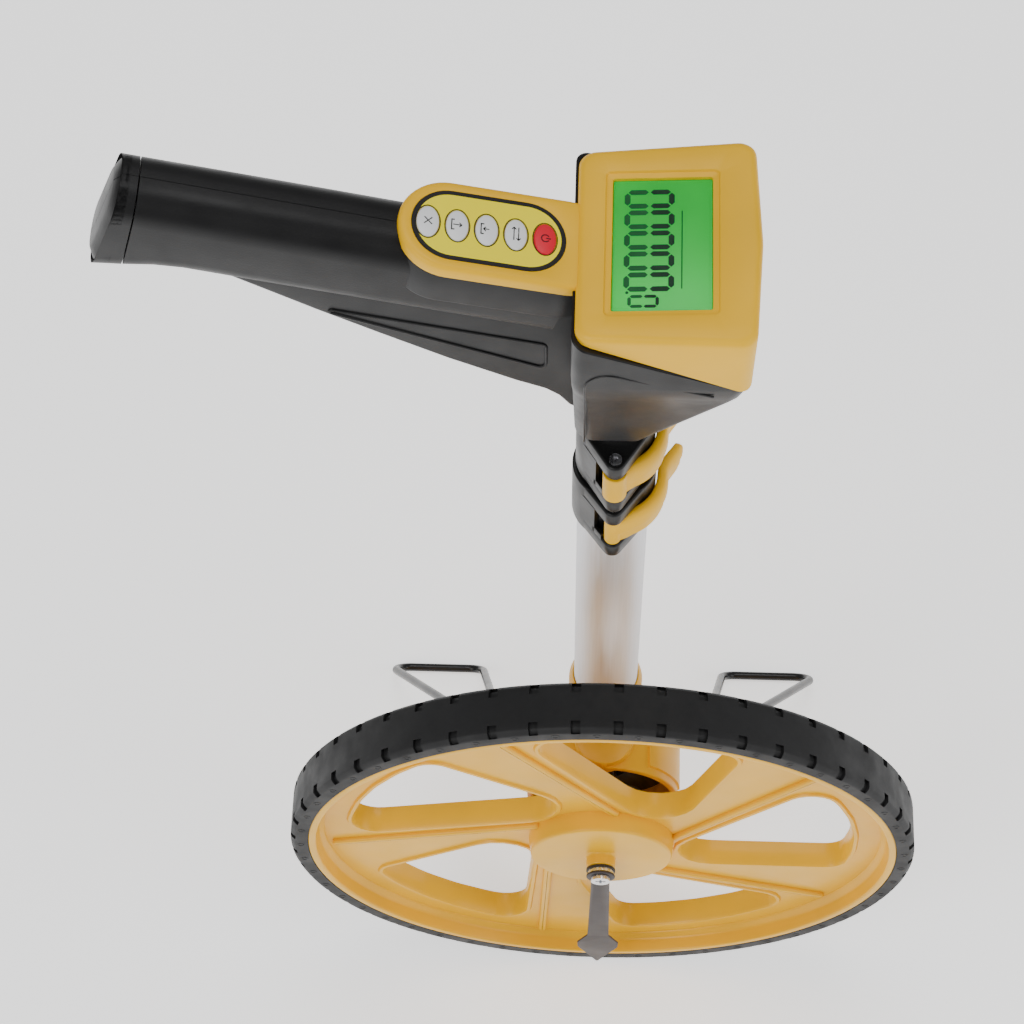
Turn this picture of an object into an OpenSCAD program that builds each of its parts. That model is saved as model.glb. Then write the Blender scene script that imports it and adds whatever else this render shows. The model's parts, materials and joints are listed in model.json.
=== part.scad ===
// Digital measuring wheel: a one-metre wheel on a fork-less side bracket, a telescopic pole with two
// flip-lock clamps, and a pistol-grip head with a lit display and five keys.
// Origin: the point where the tyre meets the ground, in the wheel's middle plane.
// +X is the walking direction, +Y points from the wheel to the pole, +Z is up.

/* [Wheel] */
// Distance rolled in one turn
wheel_circumference = 1000; // [900:10:1100]
// Width of the tyre
tyre_width = 26; // [22:1:30]
// Radial thickness of the tyre at its middle
tyre_depth = 9; // [8:0.5:10]
// Tread notches on each edge of the tyre
notch_count = 50; // [40:2:60]
// Openings between the spokes
opening_count = 5; // [5:1:5]

/* [Axle] */
// Diameter of the axle
axle_d = 8; // [8:1:8]
// Distance from the wheel's middle plane to the pole's axis
pole_y = 63.5; // [60:0.5:70]

/* [Pole] */
// Outside diameter of the fixed tube
lower_tube_d = 32; // [32:1:32]
// Outside diameter of the middle tube
mid_tube_d = 28; // [28:1:28]
// Outside diameter of the tube in the head
upper_tube_d = 24.4; // [24.4:0.1:24.4]
// Wall of the tubes
tube_wall = 1.2; // [1:0.1:1.4]

/* [Clamps] */
// Height of one clamp
clamp_h = 38; // [36:1:40]
// Height of each lug of a clamp
lug_h = 9.5; // [8:0.5:10]
// Distance from the pole's axis to the lever's pivot
pivot_reach = 22.5; // [22:0.5:24]

/* [Kickstand] */
// Diameter of the stand's wire
wire_d = 4.8; // [4:0.2:5]
// Outer reach of a foot from the middle
foot_out = 126; // [110:1:140]
// Inner reach of a foot from the middle
foot_in = 71; // [60:1:80]
// Distance of the feet behind the wheel's middle plane
foot_y = 164; // [150:1:180]

/* [Head] */
// Slope of the grip
grip_tilt = 15.3; // [12:0.1:18]
// Slope of the keypad
keypad_tilt = 13.4; // [12:0.1:15]
// Slope of the display face
face_tilt = 4.1; // [3:0.1:5]
// Wall of the plastic shells
shell_wall = 2.4; // [2:0.1:2.6]
// Distance between keys
key_pitch = 11.37; // [11:0.01:12]
// Width of a key along the grip
key_w = 8.6; // [8:0.1:9]
// Length of a key across the grip
key_l = 13.6; // [12:0.1:14]

/* [Hidden] */
$fn = 64;
wheel_r = wheel_circumference / (2 * PI);
rim_r = wheel_r - tyre_depth;
half_w = tyre_width / 2;
axle_r = axle_d / 2;
run = 0.05;
hub_r = 37;
boss_r = 7.4;
web_t = 6;
spoke_span = [48, 123];
opening_wall = 2.6;
opening_wall_y = [-1, 10];
bearing_r = 11;
bearing_w = 7;
front_bearing_y = -half_w + 2;
cup_r = 39;
cup_wall = 3.5;
bulkhead_y = [40, 46];
cover_screw_r = 12;
column_r = 18.6;
socket_z = 219;
top_pad_y = 35.5;
cup_y = [20, 58];
rear_y = 83;
rear_boss_r = 17;
lower_r = lower_tube_d / 2;
mid_r = mid_tube_d / 2;
upper_r = upper_tube_d / 2;
tube_bottom = 170;
lower_clamp_z = 399;
upper_clamp_z = 440;
lip_h = 6;
lower_tube_top = lower_clamp_z + clamp_h - lip_h;
mid_tube_top = upper_clamp_z + clamp_h - lip_h;
pin_r = 1.6;
stand_pivot = [pole_y, 143];
wire_r = wire_d / 2;
leg_l = norm([foot_y - stand_pivot[0], stand_pivot[1] - wire_r]);
leg_dir = [foot_y - stand_pivot[0], wire_r - stand_pivot[1]] / leg_l;
neck_z = 490;
socket_top = 522;
grip_butt = [-187.5, 645.9];
keypad_at = [-51.74, 613.5];
face_at = [14.63, 608.5];
window = [38.4, 60.4];
ring_half = 16.45;
cell_r = 7.25;
cell_l = 50.5;
screw_r = 1.5;

// ---- helpers -------------------------------------------------------------------------------------

function unit(v) = v / norm(v);

// Arc of radius r that rounds the corner a-b-c
function corner_arc(a, b, c, r, steps) =
    let (u = unit(a - b),
         v = unit(c - b),
         half = acos(u * v) / 2,
         centre = b + unit(u + v) * r / sin(half),
         s = b + u * r / tan(half) - centre,
         e = b + v * r / tan(half) - centre,
         a0 = atan2(s.y, s.x),
         sweep = ((atan2(e.y, e.x) - a0 + 540) % 360) - 180)
    [for (i = [0:steps]) centre + r * [cos(a0 + sweep * i / steps), sin(a0 + sweep * i / steps)]];

// Outline with every corner rounded; r is one radius, or one for each corner
function rounded(pts, r, steps = 4) =
    let (n = len(pts))
    [for (i = [0:n - 1])
        each corner_arc(pts[(i + n - 1) % n], pts[i], pts[(i + 1) % n], is_list(r) ? r[i] : r, steps)];

function box_outline(x0, x1, y0, y1) = [[x0, y0], [x1, y0], [x1, y1], [x0, y1]];

function ellipse(a, b, n = 40) = [for (i = [0:n - 1]) [a * cos(i * 360 / n), b * sin(i * 360 / n)]];

// Cylinder along Y
module y_cylinder(y0, y1, r, x = 0, z = wheel_r)
{
    translate([x, y0, z]) rotate([-90, 0, 0]) cylinder(r = r, h = y1 - y0);
}

// Cylinder along X
module x_cylinder(x0, x1, r, y, z)
{
    translate([x0, y, z]) rotate([0, 90, 0]) cylinder(r = r, h = x1 - x0);
}

// Cylinder up along Z on the pole's axis
module pole_cylinder(z0, z1, r)
{
    translate([0, pole_y, z0]) cylinder(r = r, h = z1 - z0);
}

// Flat outline in X-Z, thickened along Y
module side_prism(y0, y1)
{
    translate([0, y1, 0]) rotate([90, 0, 0]) linear_extrude(y1 - y0) children();
}

// Solid of revolution about the axle
module about_axle()
{
    translate([0, 0, wheel_r]) rotate([-90, 0, 0]) rotate_extrude($fn = 180) children();
}

// Frames of the head's three sloped faces
module keypad_frame()
{
    translate([keypad_at[0], pole_y, keypad_at[1]]) rotate([0, keypad_tilt, 0]) children();
}

module face_frame()
{
    translate([face_at[0], pole_y, face_at[1]]) rotate([0, -face_tilt, 0]) children();
}

module grip_frame()
{
    translate([grip_butt[0], pole_y, grip_butt[1]]) rotate([0, grip_tilt, 0]) children();
}

// ---- wheel ---------------------------------------------------------------------------------------

// Half-section of the rim, web and hub: [radius, position along the axle]
module rim_section()
{
    lip = 4;
    polygon([[0, -19.5], [boss_r - 0.8, -19.5], [boss_r, -18.7], [boss_r, -half_w], [hub_r - 3, -half_w],
             [hub_r, -half_w + 2], [hub_r + 1, -4], [rim_r - lip - 6, 1.5], [rim_r - lip - 2, 0],
             [rim_r - lip, -half_w], [rim_r, -half_w], [rim_r, half_w], [rim_r - lip, half_w],
             [rim_r - lip - 3, 1.5 + web_t], [hub_r, -4 + web_t], [28, 6], [27, half_w], [0, half_w]]);
}

// One opening between two spokes: a rounded triangle whose outer side follows the rim
module spoke_opening()
{
    reach = 124.5;
    tip = [41, -13];
    outer_side = [for (a = [-7:10:33]) reach * [cos(a), sin(a)]];
    polygon(rounded(concat([tip], outer_side), [7, 9, 30, 30, 30, 9], 3));
}

// Rim, spokes and hub as they come out of the mould
module wheel_moulding()
{
    color([1, 0.8, 0.2])
        difference()
        {
            union()
            {
                about_axle() rim_section();
                for (k = [0:opening_count - 1])
                {
                    translate([0, 0, wheel_r]) rotate([0, -8 - k * 360 / opening_count, 0]) spoke_rib();
                    translate([0, 0, wheel_r]) rotate([0, -k * 360 / opening_count, 0])
                        side_prism(opening_wall_y[0], opening_wall_y[1])
                            offset(delta = opening_wall) spoke_opening();
                }
            }
            for (k = [0:opening_count - 1])
                translate([0, 0, wheel_r]) rotate([0, -k * 360 / opening_count, 0])
                    side_prism(-half_w - 1, half_w + 1) spoke_opening();
            y_cylinder(-20, half_w + 1, axle_r + 0.6);
            y_cylinder(front_bearing_y, front_bearing_y + bearing_w, bearing_r);
            y_cylinder(half_w - bearing_w, half_w + 1, bearing_r);
        }
}

// Full disc about the axle, wider than the wheel
module wheel_disc(r)
{
    y_cylinder(-half_w - 8, half_w + 1, r);
}

module wheel_hub()
{
    intersection()
    {
        wheel_moulding();
        wheel_disc(spoke_span[0]);
    }
}

module wheel_spokes()
{
    difference()
    {
        intersection()
        {
            wheel_moulding();
            wheel_disc(spoke_span[1]);
        }
        wheel_disc(spoke_span[0]);
    }
}

module wheel_rim()
{
    difference()
    {
        wheel_moulding();
        wheel_disc(spoke_span[1]);
    }
}

// Raised rib along one edge of a spoke, from the hub to the rim
module spoke_rib()
{
    side_prism(-7.3, 2.2) polygon([[30, -19.3], [144.6, -38.2], [143.4, -42.7], [30, -24]]);
}

module tyre()
{
    edge = 2;
    color([0.12, 0.12, 0.13])
        difference()
        {
            about_axle()
                polygon([[rim_r, -half_w], [wheel_r - edge, -half_w], [wheel_r, -half_w + edge],
                         [wheel_r, half_w - edge], [wheel_r - edge, half_w], [rim_r, half_w]]);
            for (k = [0:notch_count - 1], side = [-1, 1])
                translate([0, 0, wheel_r]) rotate([0, 2 + k * 360 / notch_count, 0])
                    translate([0, side * half_w, wheel_r])
                        cube([5, 12, 6], center = true);
        }
}

module wheel_bearings()
{
    color("silver")
        for (y = [front_bearing_y, half_w - bearing_w])
            difference()
            {
                y_cylinder(y, y + bearing_w, bearing_r);
                y_cylinder(y - 1, y + bearing_w + 1, axle_r + run);
            }
}

module magnet_ring()
{
    color([0.2, 0.2, 0.22])
        difference()
        {
            y_cylinder(half_w, half_w + 6, 24);
            y_cylinder(half_w - 1, half_w + 7, 17);
        }
}

// ---- axle and pointer ----------------------------------------------------------------------------

module axle()
{
    color("silver")
        difference()
        {
            y_cylinder(-24.4, 76, axle_r);
            y_cylinder(-25, -14, 2);
        }
}

module bearing_spacer()
{
    color("silver")
        difference()
        {
            y_cylinder(half_w + 0.3, 40, 7);
            y_cylinder(half_w - 1, 41, axle_r);
        }
}

module axle_ring(y0, y1, r)
{
    difference()
    {
        y_cylinder(y0, y1, r);
        y_cylinder(y0 - 1, y1 + 1, axle_r);
    }
}

module front_washer()
{
    color([0.1, 0.1, 0.1]) axle_ring(-20.9, -19.7, 7.4);
}

module front_spacer()
{
    color("silver") axle_ring(-22.6, -20.9, 6.6);
}

module axle_end_screw()
{
    color("silver")
        difference()
        {
            union()
            {
                y_cylinder(-26.4, -24.4, 4.85);
                y_cylinder(-24.4, -14.5, 2);
            }
            for (turn = [0, 90])
                translate([0, -26.4, wheel_r]) rotate([0, turn, 0]) cube([5.2, 2, 1.1], center = true);
        }
}

module pointer()
{
    color([0.3, 0.28, 0.29])
        difference()
        {
            union()
            {
                y_cylinder(-24.1, -22.9, 7.3);
                translate([0, 0, wheel_r]) side_prism(-24.1, -22.9)
                    polygon([[-4.6, 0], [-5.7, -89], [-11.1, -101], [-10.8, -107], [0, -131],
                             [10.8, -107], [11.1, -101], [5.7, -89], [4.6, 0]]);
            }
            y_cylinder(-25, -22, axle_r + run);
        }
}

// ---- bracket housing -----------------------------------------------------------------------------

// Places of three screws on a circle about the axle
module screw_circle(radius, first)
{
    for (a = [first:120:first + 240])
        translate([radius * cos(a), 0, wheel_r + radius * sin(a)]) children();
}

// Straight hole along Y through its own origin
module y_hole(y0, y1, r)
{
    translate([0, y0, 0]) rotate([-90, 0, 0]) cylinder(r = r, h = y1 - y0);
}

module pole_column()
{
    pole_cylinder(wheel_r - 22, socket_z - 5, column_r);
    translate([0, pole_y, socket_z - 5]) cylinder(r1 = column_r, r2 = lower_r + 0.6, h = 5);
}

module bracket_housing()
{
    color([1, 0.8, 0.2])
        difference()
        {
            union()
            {
                difference()
                {
                    y_cylinder(cup_y[0], cup_y[1], cup_r);
                    y_cylinder(cup_y[0] - 1, bulkhead_y[0], cup_r - cup_wall);
                    y_cylinder(bulkhead_y[1], cup_y[1] + 1, cup_r - cup_wall);
                }
                translate([0, top_pad_y, wheel_r + 35]) cylinder(r = 15, h = 8);
                translate([-1.5, cup_y[0], wheel_r + 36]) cube([3, 30, 7]);
                pole_column();
                y_cylinder(bulkhead_y[0], rear_y, rear_boss_r);
                x_cylinder(-44, 44, 7, stand_pivot[0], stand_pivot[1]);
            }
            pole_cylinder(tube_bottom, socket_z + 1, lower_r);
            y_cylinder(bulkhead_y[0] - 1, 77, axle_r);
            x_cylinder(-45, 45, wire_r + run, stand_pivot[0], stand_pivot[1]);
            pole_cylinder(tube_bottom - 7, tube_bottom + 1, 3);
            translate([0, top_pad_y, wheel_r + 31]) cylinder(r = screw_r, h = 20);
            screw_circle(28, 30) y_hole(bulkhead_y[0] - 1, bulkhead_y[1] + 1, screw_r);
            screw_circle(cover_screw_r, 30) y_hole(rear_y - 12, rear_y + 1, screw_r);
            y_cylinder(bulkhead_y[0] - 1, 60, 2.2, x = 0, z = wheel_r + 15);
        }
}

module sensor_carrier()
{
    color([0.15, 0.12, 0.11])
        difference()
        {
            y_cylinder(36, 40, cup_r - cup_wall - 0.5);
            y_cylinder(35, 41, 12);
            screw_circle(28, 30) y_hole(35, 41, screw_r);
        }
}

module sensor_board()
{
    color([0.1, 0.4, 0.2])
        translate([-8, 33.5, wheel_r + 13]) cube([16, 2.5, 16]);
    color([0.1, 0.1, 0.1])
        translate([-3, 31, wheel_r + 17]) cube([6, 2.5, 6]);
}

// Pan-head screw along Y with a cross recess; the head is on the -Y side
module pan_screw(length)
{
    difference()
    {
        union()
        {
            rotate([-90, 0, 0]) cylinder(r = screw_r, h = length, $fn = 24);
            translate([0, -2, 0]) rotate([-90, 0, 0]) cylinder(r = 3, h = 2, $fn = 32);
        }
        for (turn = [0, 90])
            translate([0, -2, 0]) rotate([0, turn, 0]) cube([3.4, 1.6, 0.8], center = true);
    }
}

module carrier_screws()
{
    color("silver") screw_circle(28, 30) translate([0, 36, 0]) pan_screw(9);
}

module cover_screws()
{
    color("silver")
        screw_circle(cover_screw_r, 30) translate([0, rear_y + 3, 0]) rotate([0, 0, 180]) pan_screw(13);
}

module rear_cover()
{
    color([0.13, 0.13, 0.14])
        difference()
        {
            y_cylinder(rear_y, rear_y + 3, rear_boss_r - 0.5);
            screw_circle(cover_screw_r, 30) y_hole(rear_y - 1, rear_y + 4, screw_r);
        }
}

module housing_top_screw()
{
    color("silver") translate([0, top_pad_y, wheel_r + 43]) rotate([-90, 0, 0]) pan_screw(7);
}

// ---- kickstand -----------------------------------------------------------------------------------

// Place in the sloping plane of the legs: [across, down the leg from the pivot]
function on_leg(p) = [p.x, stand_pivot[0] + p.y * leg_dir.x, stand_pivot[1] + p.y * leg_dir.y];

module stand_shaft()
{
    color([0.1, 0.1, 0.11]) x_cylinder(-50, 50, wire_r, stand_pivot[0], stand_pivot[1]);
}

module stand_collars()
{
    color([0.15, 0.15, 0.16])
        for (side = [0, 1])
            mirror([side, 0, 0])
                difference()
                {
                    x_cylinder(46, 59, 5.6, stand_pivot[0], stand_pivot[1]);
                    x_cylinder(45, 50, wire_r, stand_pivot[0], stand_pivot[1]);
                }
}

// Closed loop of wire on the +X side: two wires from the collar and a bar on the ground
module stand_leg()
{
    sides = 12;
    top = 53;
    loop = rounded([[top, 0], [foot_in, leg_l], [foot_out, leg_l], [top + 6.6, 0]], [3.25, 9, 9, 3.25], 6);
    n = len(loop);
    rings = [for (i = [0:n - 1])
                let (t = unit(loop[(i + 1) % n] - loop[(i + n - 1) % n]), side = [t.y, -t.x])
                for (k = [0:sides - 1])
                    on_leg(loop[i] + side * wire_r * cos(k * 360 / sides))
                        + [0, -leg_dir.y, leg_dir.x] * wire_r * sin(k * 360 / sides)];
    skin = [for (i = [0:n - 1], k = [0:sides - 1])
               let (a = i * sides + k, b = i * sides + (k + 1) % sides,
                    c = ((i + 1) % n) * sides + (k + 1) % sides, d = ((i + 1) % n) * sides + k)
               each [[a, d, c], [a, c, b]]];
    polyhedron(rings, skin);
}

module right_stand_leg()
{
    color([0.1, 0.1, 0.11]) stand_leg();
}

module left_stand_leg()
{
    color([0.1, 0.1, 0.11]) mirror([1, 0, 0]) stand_leg();
}

// ---- telescopic pole -----------------------------------------------------------------------------

module tube(z0, z1, r)
{
    difference()
    {
        pole_cylinder(z0, z1, r);
        pole_cylinder(z0 - 1, z1 + 1, r - tube_wall);
    }
}

module bush(z0, z1, r, bore)
{
    difference()
    {
        pole_cylinder(z0, z1, r);
        pole_cylinder(z0 - 1, z1 + 1, bore);
    }
}

module lower_tube()
{
    color("silver") tube(tube_bottom, lower_tube_top, lower_r);
}

module mid_tube()
{
    color("silver") tube(tube_bottom + 8, mid_tube_top, mid_r);
}

module upper_tube()
{
    color("silver") tube(tube_bottom + 16, socket_top - 2, upper_r);
}

module mid_guide_bush()
{
    color([0.15, 0.15, 0.16])
        difference()
        {
            union()
            {
                pole_cylinder(tube_bottom + 3, tube_bottom + 8, lower_r - tube_wall - run);
                pole_cylinder(tube_bottom + 8, tube_bottom + 14, mid_r - tube_wall);
            }
            pole_cylinder(tube_bottom, tube_bottom + 20, 5);
        }
}

module upper_guide_bush()
{
    color([0.15, 0.15, 0.16])
        bush(tube_bottom + 16, tube_bottom + 30, upper_r - tube_wall, 5);
}

// ---- flip-lock clamps ----------------------------------------------------------------------------

// Plan of a lug: the collar drawn out to a nose over the lever's pivot
module lug_plan(collar_r)
{
    hull()
    {
        circle(r = collar_r);
        translate([0, -pivot_reach]) circle(r = 4.6, $fn = 32);
    }
}

// Collar on the outer tube's end, with a lip that grips the inner tube
module clamp_body(z0, collar_r, outer_tube_r, inner_tube_r)
{
    translate([0, pole_y, z0])
        difference()
        {
            union()
            {
                cylinder(r = collar_r, h = clamp_h);
                linear_extrude(lug_h) lug_plan(collar_r - 0.4);
                translate([0, 0, clamp_h - lug_h]) linear_extrude(lug_h) lug_plan(collar_r - 0.4);
            }
            translate([0, 0, -1]) cylinder(r = outer_tube_r, h = clamp_h - lip_h + 1);
            cylinder(r = inner_tube_r + run, h = clamp_h + 1);
            translate([0, -pivot_reach, -1]) cylinder(r = pin_r, h = clamp_h + 2, $fn = 32);
        }
}

module lower_clamp()
{
    color([0.18, 0.18, 0.19]) clamp_body(lower_clamp_z, 18.4, lower_r, mid_r);
}

module upper_clamp()
{
    color([0.18, 0.18, 0.19]) clamp_body(upper_clamp_z, 17, mid_r, upper_r);
}

// Cam lever: an eye on the pivot, a band round the collar and a flared thumb tab
module lever(z0, collar_r)
{
    inner = collar_r + 0.5;
    outer = inner + 4.2;
    h = clamp_h - 2 * lug_h - 0.6;
    band = concat([for (a = [-66:8:14]) inner * [cos(a), sin(a)]],
                  [for (a = [14:-8:-76]) outer * [cos(a), sin(a)]]);
    tab = [[inner + 0.3, 2], [outer + 5, 14], [outer + 7, 13], [outer + 6.5, 9], [outer - 0.6, 0]];
    translate([0, pole_y, z0 + lug_h + 0.3])
        difference()
        {
            union()
            {
                translate([0, -pivot_reach, 0]) cylinder(r = pivot_reach - collar_r - 0.3, h = h);
                linear_extrude(h)
                    polygon([[-2, -pivot_reach - 3.4], [inner * cos(-66), inner * sin(-66)],
                             [outer * cos(-60), outer * sin(-60)], [2, -pivot_reach - 4.2]]);
                linear_extrude(h) polygon(band);
                linear_extrude(h) polygon(tab);
            }
            translate([0, -pivot_reach, -1]) cylinder(r = pin_r + run, h = h + 2, $fn = 32);
        }
}

module lower_lever()
{
    color([1, 0.82, 0.3]) lever(lower_clamp_z, 18.4);
}

module upper_lever()
{
    color([1, 0.82, 0.3]) lever(upper_clamp_z, 17);
}

module lever_pin(z0)
{
    translate([0, pole_y - pivot_reach, z0])
        difference()
        {
            union()
            {
                cylinder(r = pin_r, h = clamp_h, $fn = 32);
                translate([0, 0, clamp_h]) cylinder(r = 2.7, h = 1.2, $fn = 32);
            }
            translate([0, 0, clamp_h + 0.4]) cylinder(r = 1.3, h = 2, $fn = 6);
        }
}

module lower_lever_pin()
{
    color([0.2, 0.2, 0.2]) lever_pin(lower_clamp_z);
}

module upper_lever_pin()
{
    color([0.2, 0.2, 0.2]) lever_pin(upper_clamp_z);
}

module signal_cable()
{
    color([0.1, 0.1, 0.1]) pole_cylinder(tube_bottom - 6, 480, 2);
}

// ---- handle shells -------------------------------------------------------------------------------

// Cross-section of the grip: half-width across, h below the top line
module grip_section(half, h)
{
    polygon(rounded(box_outline(0, h, -half, half), half * 0.75, 5));
}

// Level rounded slab of the funnel
module funnel_slab(z, x0, x1, half, r)
{
    translate([0, pole_y, z]) linear_extrude(0.5)
        polygon(rounded(box_outline(x0, x1, -half, half), r, 4));
}

module funnel(gap)
{
    hull()
    {
        funnel_slab(neck_z + gap * 2, -17 + gap, 14 - gap, 20 - gap, 7);
        funnel_slab(545, -18.5 + gap, 46 - gap, 34 - gap, 6);
        funnel_slab(575, -19 + gap, 49.5 - gap, 46 - gap, 5);
        funnel_slab(604, -19 + gap, 49.5 - gap, 46 - gap, 5);
    }
}

// Straight tube of the grip, with a flared butt that keeps the hand from slipping off
module grip_tube()
{
    grip_frame()
    {
        translate([-1, 0, 0]) rotate([0, 90, 0]) linear_extrude(177) grip_section(15, 42);
        hull()
        {
            translate([-1, 0, 0]) rotate([0, 96, 0]) linear_extrude(0.5) grip_section(15, 50);
            translate([22, 0, 0]) rotate([0, 90, 0]) linear_extrude(0.5) grip_section(14.5, 41.5);
        }
    }
}

module grip_fin()
{
    translate([0, pole_y, 0]) side_prism(-10, 10)
        polygon(rounded([[-156, 599], [-126, 573], [-96, 552], [-69, 533], [-30, 512], [-12, 496],
                         [-6, 540], [-20, 590], [-150, 618]], 2, 2));
}

// Stadium outline of the keypad, about its centre
function stadium(x0, x1, half, steps = 10) =
    concat([for (i = [0:steps]) [x0 + half, 0] + half * [cos(90 + i * 180 / steps), sin(90 + i * 180 / steps)]],
           [for (i = [0:steps]) [x1 - half, 0] + half * [cos(-90 + i * 180 / steps), sin(-90 + i * 180 / steps)]]);

module keypad_platform(half, z0, z1)
{
    keypad_frame() translate([0, 0, z0]) linear_extrude(z1 - z0) polygon(stadium(-34, 50, half));
}

// Everything above the joint between the black shells and the yellow cover
module above_seam(lift)
{
    translate([-13, pole_y, 601 + lift]) rotate([0, 22.75, 0]) translate([-8, -60, 0]) cube([120, 120, 60]);
}

module handle_blank()
{
    difference()
    {
        union()
        {
            grip_tube();
            grip_fin();
            difference()
            {
                funnel(0);
                above_seam(0);
            }
            keypad_platform(19, -26, -6.5);
        }
        difference()
        {
            funnel(shell_wall);
            translate([-50, pole_y - 60, neck_z - 5]) cube([120, 120, socket_top + 4 - neck_z + 5]);
        }
        above_seam(-0.01);
        keypad_platform(20.5, -6.5, 20);
        keypad_platform(13, -12, 0);
        pole_cylinder(neck_z - 5, socket_top + 8, upper_r);
        grip_frame() translate([-20, 0, -22]) rotate([0, 90, 0]) cylinder(r = 12.2, h = 165);
        grip_frame() translate([-60, -40, -80]) cube([68, 80, 120]);
        shell_screw_places() shell_screw(0.02);
    }
}

module shell_screw_places()
{
    for (p = [[-140, 592], [-98, 562], [-56, 534], [-27, 535], [34, 552]])
        translate([p[0], pole_y, p[1]]) children();
}

module shell_screw(extra)
{
    half = 9;
    translate([0, -half, 0]) rotate([-90, 0, 0]) cylinder(r = screw_r + extra, h = 2 * half - 2, $fn = 24);
    translate([0, half - 2, 0]) rotate([-90, 0, 0]) cylinder(r = 3 + extra, h = extra > 0 ? 60 : 2, $fn = 32);
}

module half_space(side)
{
    translate([-260, side > 0 ? pole_y : pole_y - 100, 450]) cube([400, 100, 260]);
}

module left_handle_shell()
{
    color([0.16, 0.16, 0.17])
        intersection()
        {
            handle_blank();
            half_space(-1);
        }
}

module right_handle_shell()
{
    color([0.16, 0.16, 0.17])
        intersection()
        {
            handle_blank();
            half_space(1);
        }
}

module shell_screws()
{
    color("silver") shell_screw_places() shell_screw(0);
}

module battery_cap()
{
    color([0.16, 0.16, 0.17])
        difference()
        {
            intersection()
            {
                grip_tube();
                grip_frame() translate([-60, -40, -80]) cube([67.7, 80, 120]);
            }
            grip_frame() translate([3, 0, -22]) rotate([0, 90, 0]) cylinder(r = 11, h = 20);
        }
}

module battery_tray()
{
    color([0.2, 0.2, 0.21])
        grip_frame() translate([16, 0, -22]) rotate([0, 90, 0])
            difference()
            {
                cylinder(r = 12.1, h = 106);
                translate([0, 0, -1]) cylinder(r = cell_r + 0.2, h = 108);
            }
}

module battery_cells()
{
    color([0.15, 0.35, 0.6])
        for (k = [0, 1])
            grip_frame() translate([18 + k * (cell_l + 0.5), 0, -22]) rotate([0, 90, 0])
            {
                translate([0, 0, 1]) cylinder(r = cell_r, h = cell_l - 1);
                cylinder(r = 2.8, h = 1);
            }
}

module battery_contacts()
{
    color("gold")
        grip_frame() translate([0, 0, -22]) rotate([0, 90, 0])
        {
            translate([0, 0, 122]) cylinder(r = 9, h = 0.8);
            translate([0, 0, 120.2]) cylinder(r = 4, h = 1.8);
        }
}

// ---- head cover, display and keypad --------------------------------------------------------------

// Outline of the display face about the display's middle; the front edge bows out
function face_outline(inset) =
    rounded([[-33 + inset, -43.5 + inset], [36 - inset, -47 + inset], [38.5 - inset, 0],
             [36 - inset, 47 - inset], [-33 + inset, 43.5 - inset]], 5, 4);

module cover_solid(gap)
{
    hull()
    {
        face_frame() translate([0, 0, -0.6 - gap]) linear_extrude(0.6) polygon(face_outline(1.5 + gap));
        face_frame() translate([0, 0, -3 - gap]) linear_extrude(0.6) polygon(face_outline(0.3 + gap));
        translate([0, pole_y, 575]) linear_extrude(0.6)
            polygon(rounded(box_outline(-19 + gap, 50.5 - gap, -47 + gap, 47 - gap), 5, 4));
    }
}

module top_cover()
{
    color([1, 0.8, 0.15])
        difference()
        {
            union()
            {
                intersection()
                {
                    cover_solid(0);
                    above_seam(0);
                }
                keypad_frame() translate([0, 0, -6.5]) linear_extrude(6.5) polygon(stadium(-34, 54, 20));
            }
            cover_solid(shell_wall);
            face_frame() translate([0, 0, -4]) linear_extrude(10)
                polygon(rounded(box_outline(-window.x / 2, window.x / 2, -window.y / 2, window.y / 2), 1.5, 3));
            face_frame() translate([0, 0, -1.2]) linear_extrude(10)
                polygon(rounded(box_outline(-window.x / 2 - 3, window.x / 2 + 3, -window.y / 2 - 3,
                                            window.y / 2 + 3), 2, 3));
            keypad_frame() translate([0, 0, -1]) linear_extrude(4) polygon(stadium(-29, 31, ring_half - 1));
            keypad_frame() translate([0, 0, -8]) linear_extrude(9) polygon(stadium(-28.6, 30.6, 12.6));
            keypad_frame() translate([36.5, -30, -20]) cube([30, 60, 10]);
        }
}

module display_lens()
{
    color([0.8, 0.9, 0.8, 0.4])
        face_frame() translate([0, 0, -2.1]) linear_extrude(0.9)
            polygon(rounded(box_outline(-window.x / 2 + 0.1, window.x / 2 - 0.1, -window.y / 2 + 0.1,
                                        window.y / 2 - 0.1), 1.4, 3));
}

module display_module()
{
    color([0.1, 0.8, 0.2])
        face_frame() translate([-window.x / 2 - 1, -window.y / 2 - 2, -7])
            cube([window.x + 2, window.y + 4, 4.4]);
}

module main_board()
{
    color([0.1, 0.4, 0.2])
        face_frame() translate([-24, -36, -11]) cube([50, 72, 1.6]);
    color([0.1, 0.1, 0.1])
        face_frame() translate([-6, -8, -12.6]) cube([12, 12, 1.6]);
}

function key_x(k) = (2 - k) * key_pitch;

module keypad_panel()
{
    color([1, 0.95, 0.25])
        keypad_frame() translate([0, 0, -1])
            difference()
            {
                linear_extrude(1) polygon(stadium(-29, 31, ring_half - 1));
                for (k = [0:4])
                    translate([key_x(k), 0, -1]) linear_extrude(3)
                        polygon(ellipse(key_w / 2 + 0.25, key_l / 2 + 0.25));
            }
}

module keypad_pad()
{
    color([0.3, 0.3, 0.3])
        keypad_frame() translate([0, 0, -5.4]) linear_extrude(1.2) polygon(stadium(-27.5, 29.5, 11.6));
}

module keypad_board()
{
    color([0.1, 0.4, 0.2])
        keypad_frame() translate([0, 0, -7]) linear_extrude(1.6) polygon(stadium(-27.5, 29.5, 11.6));
}

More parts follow.
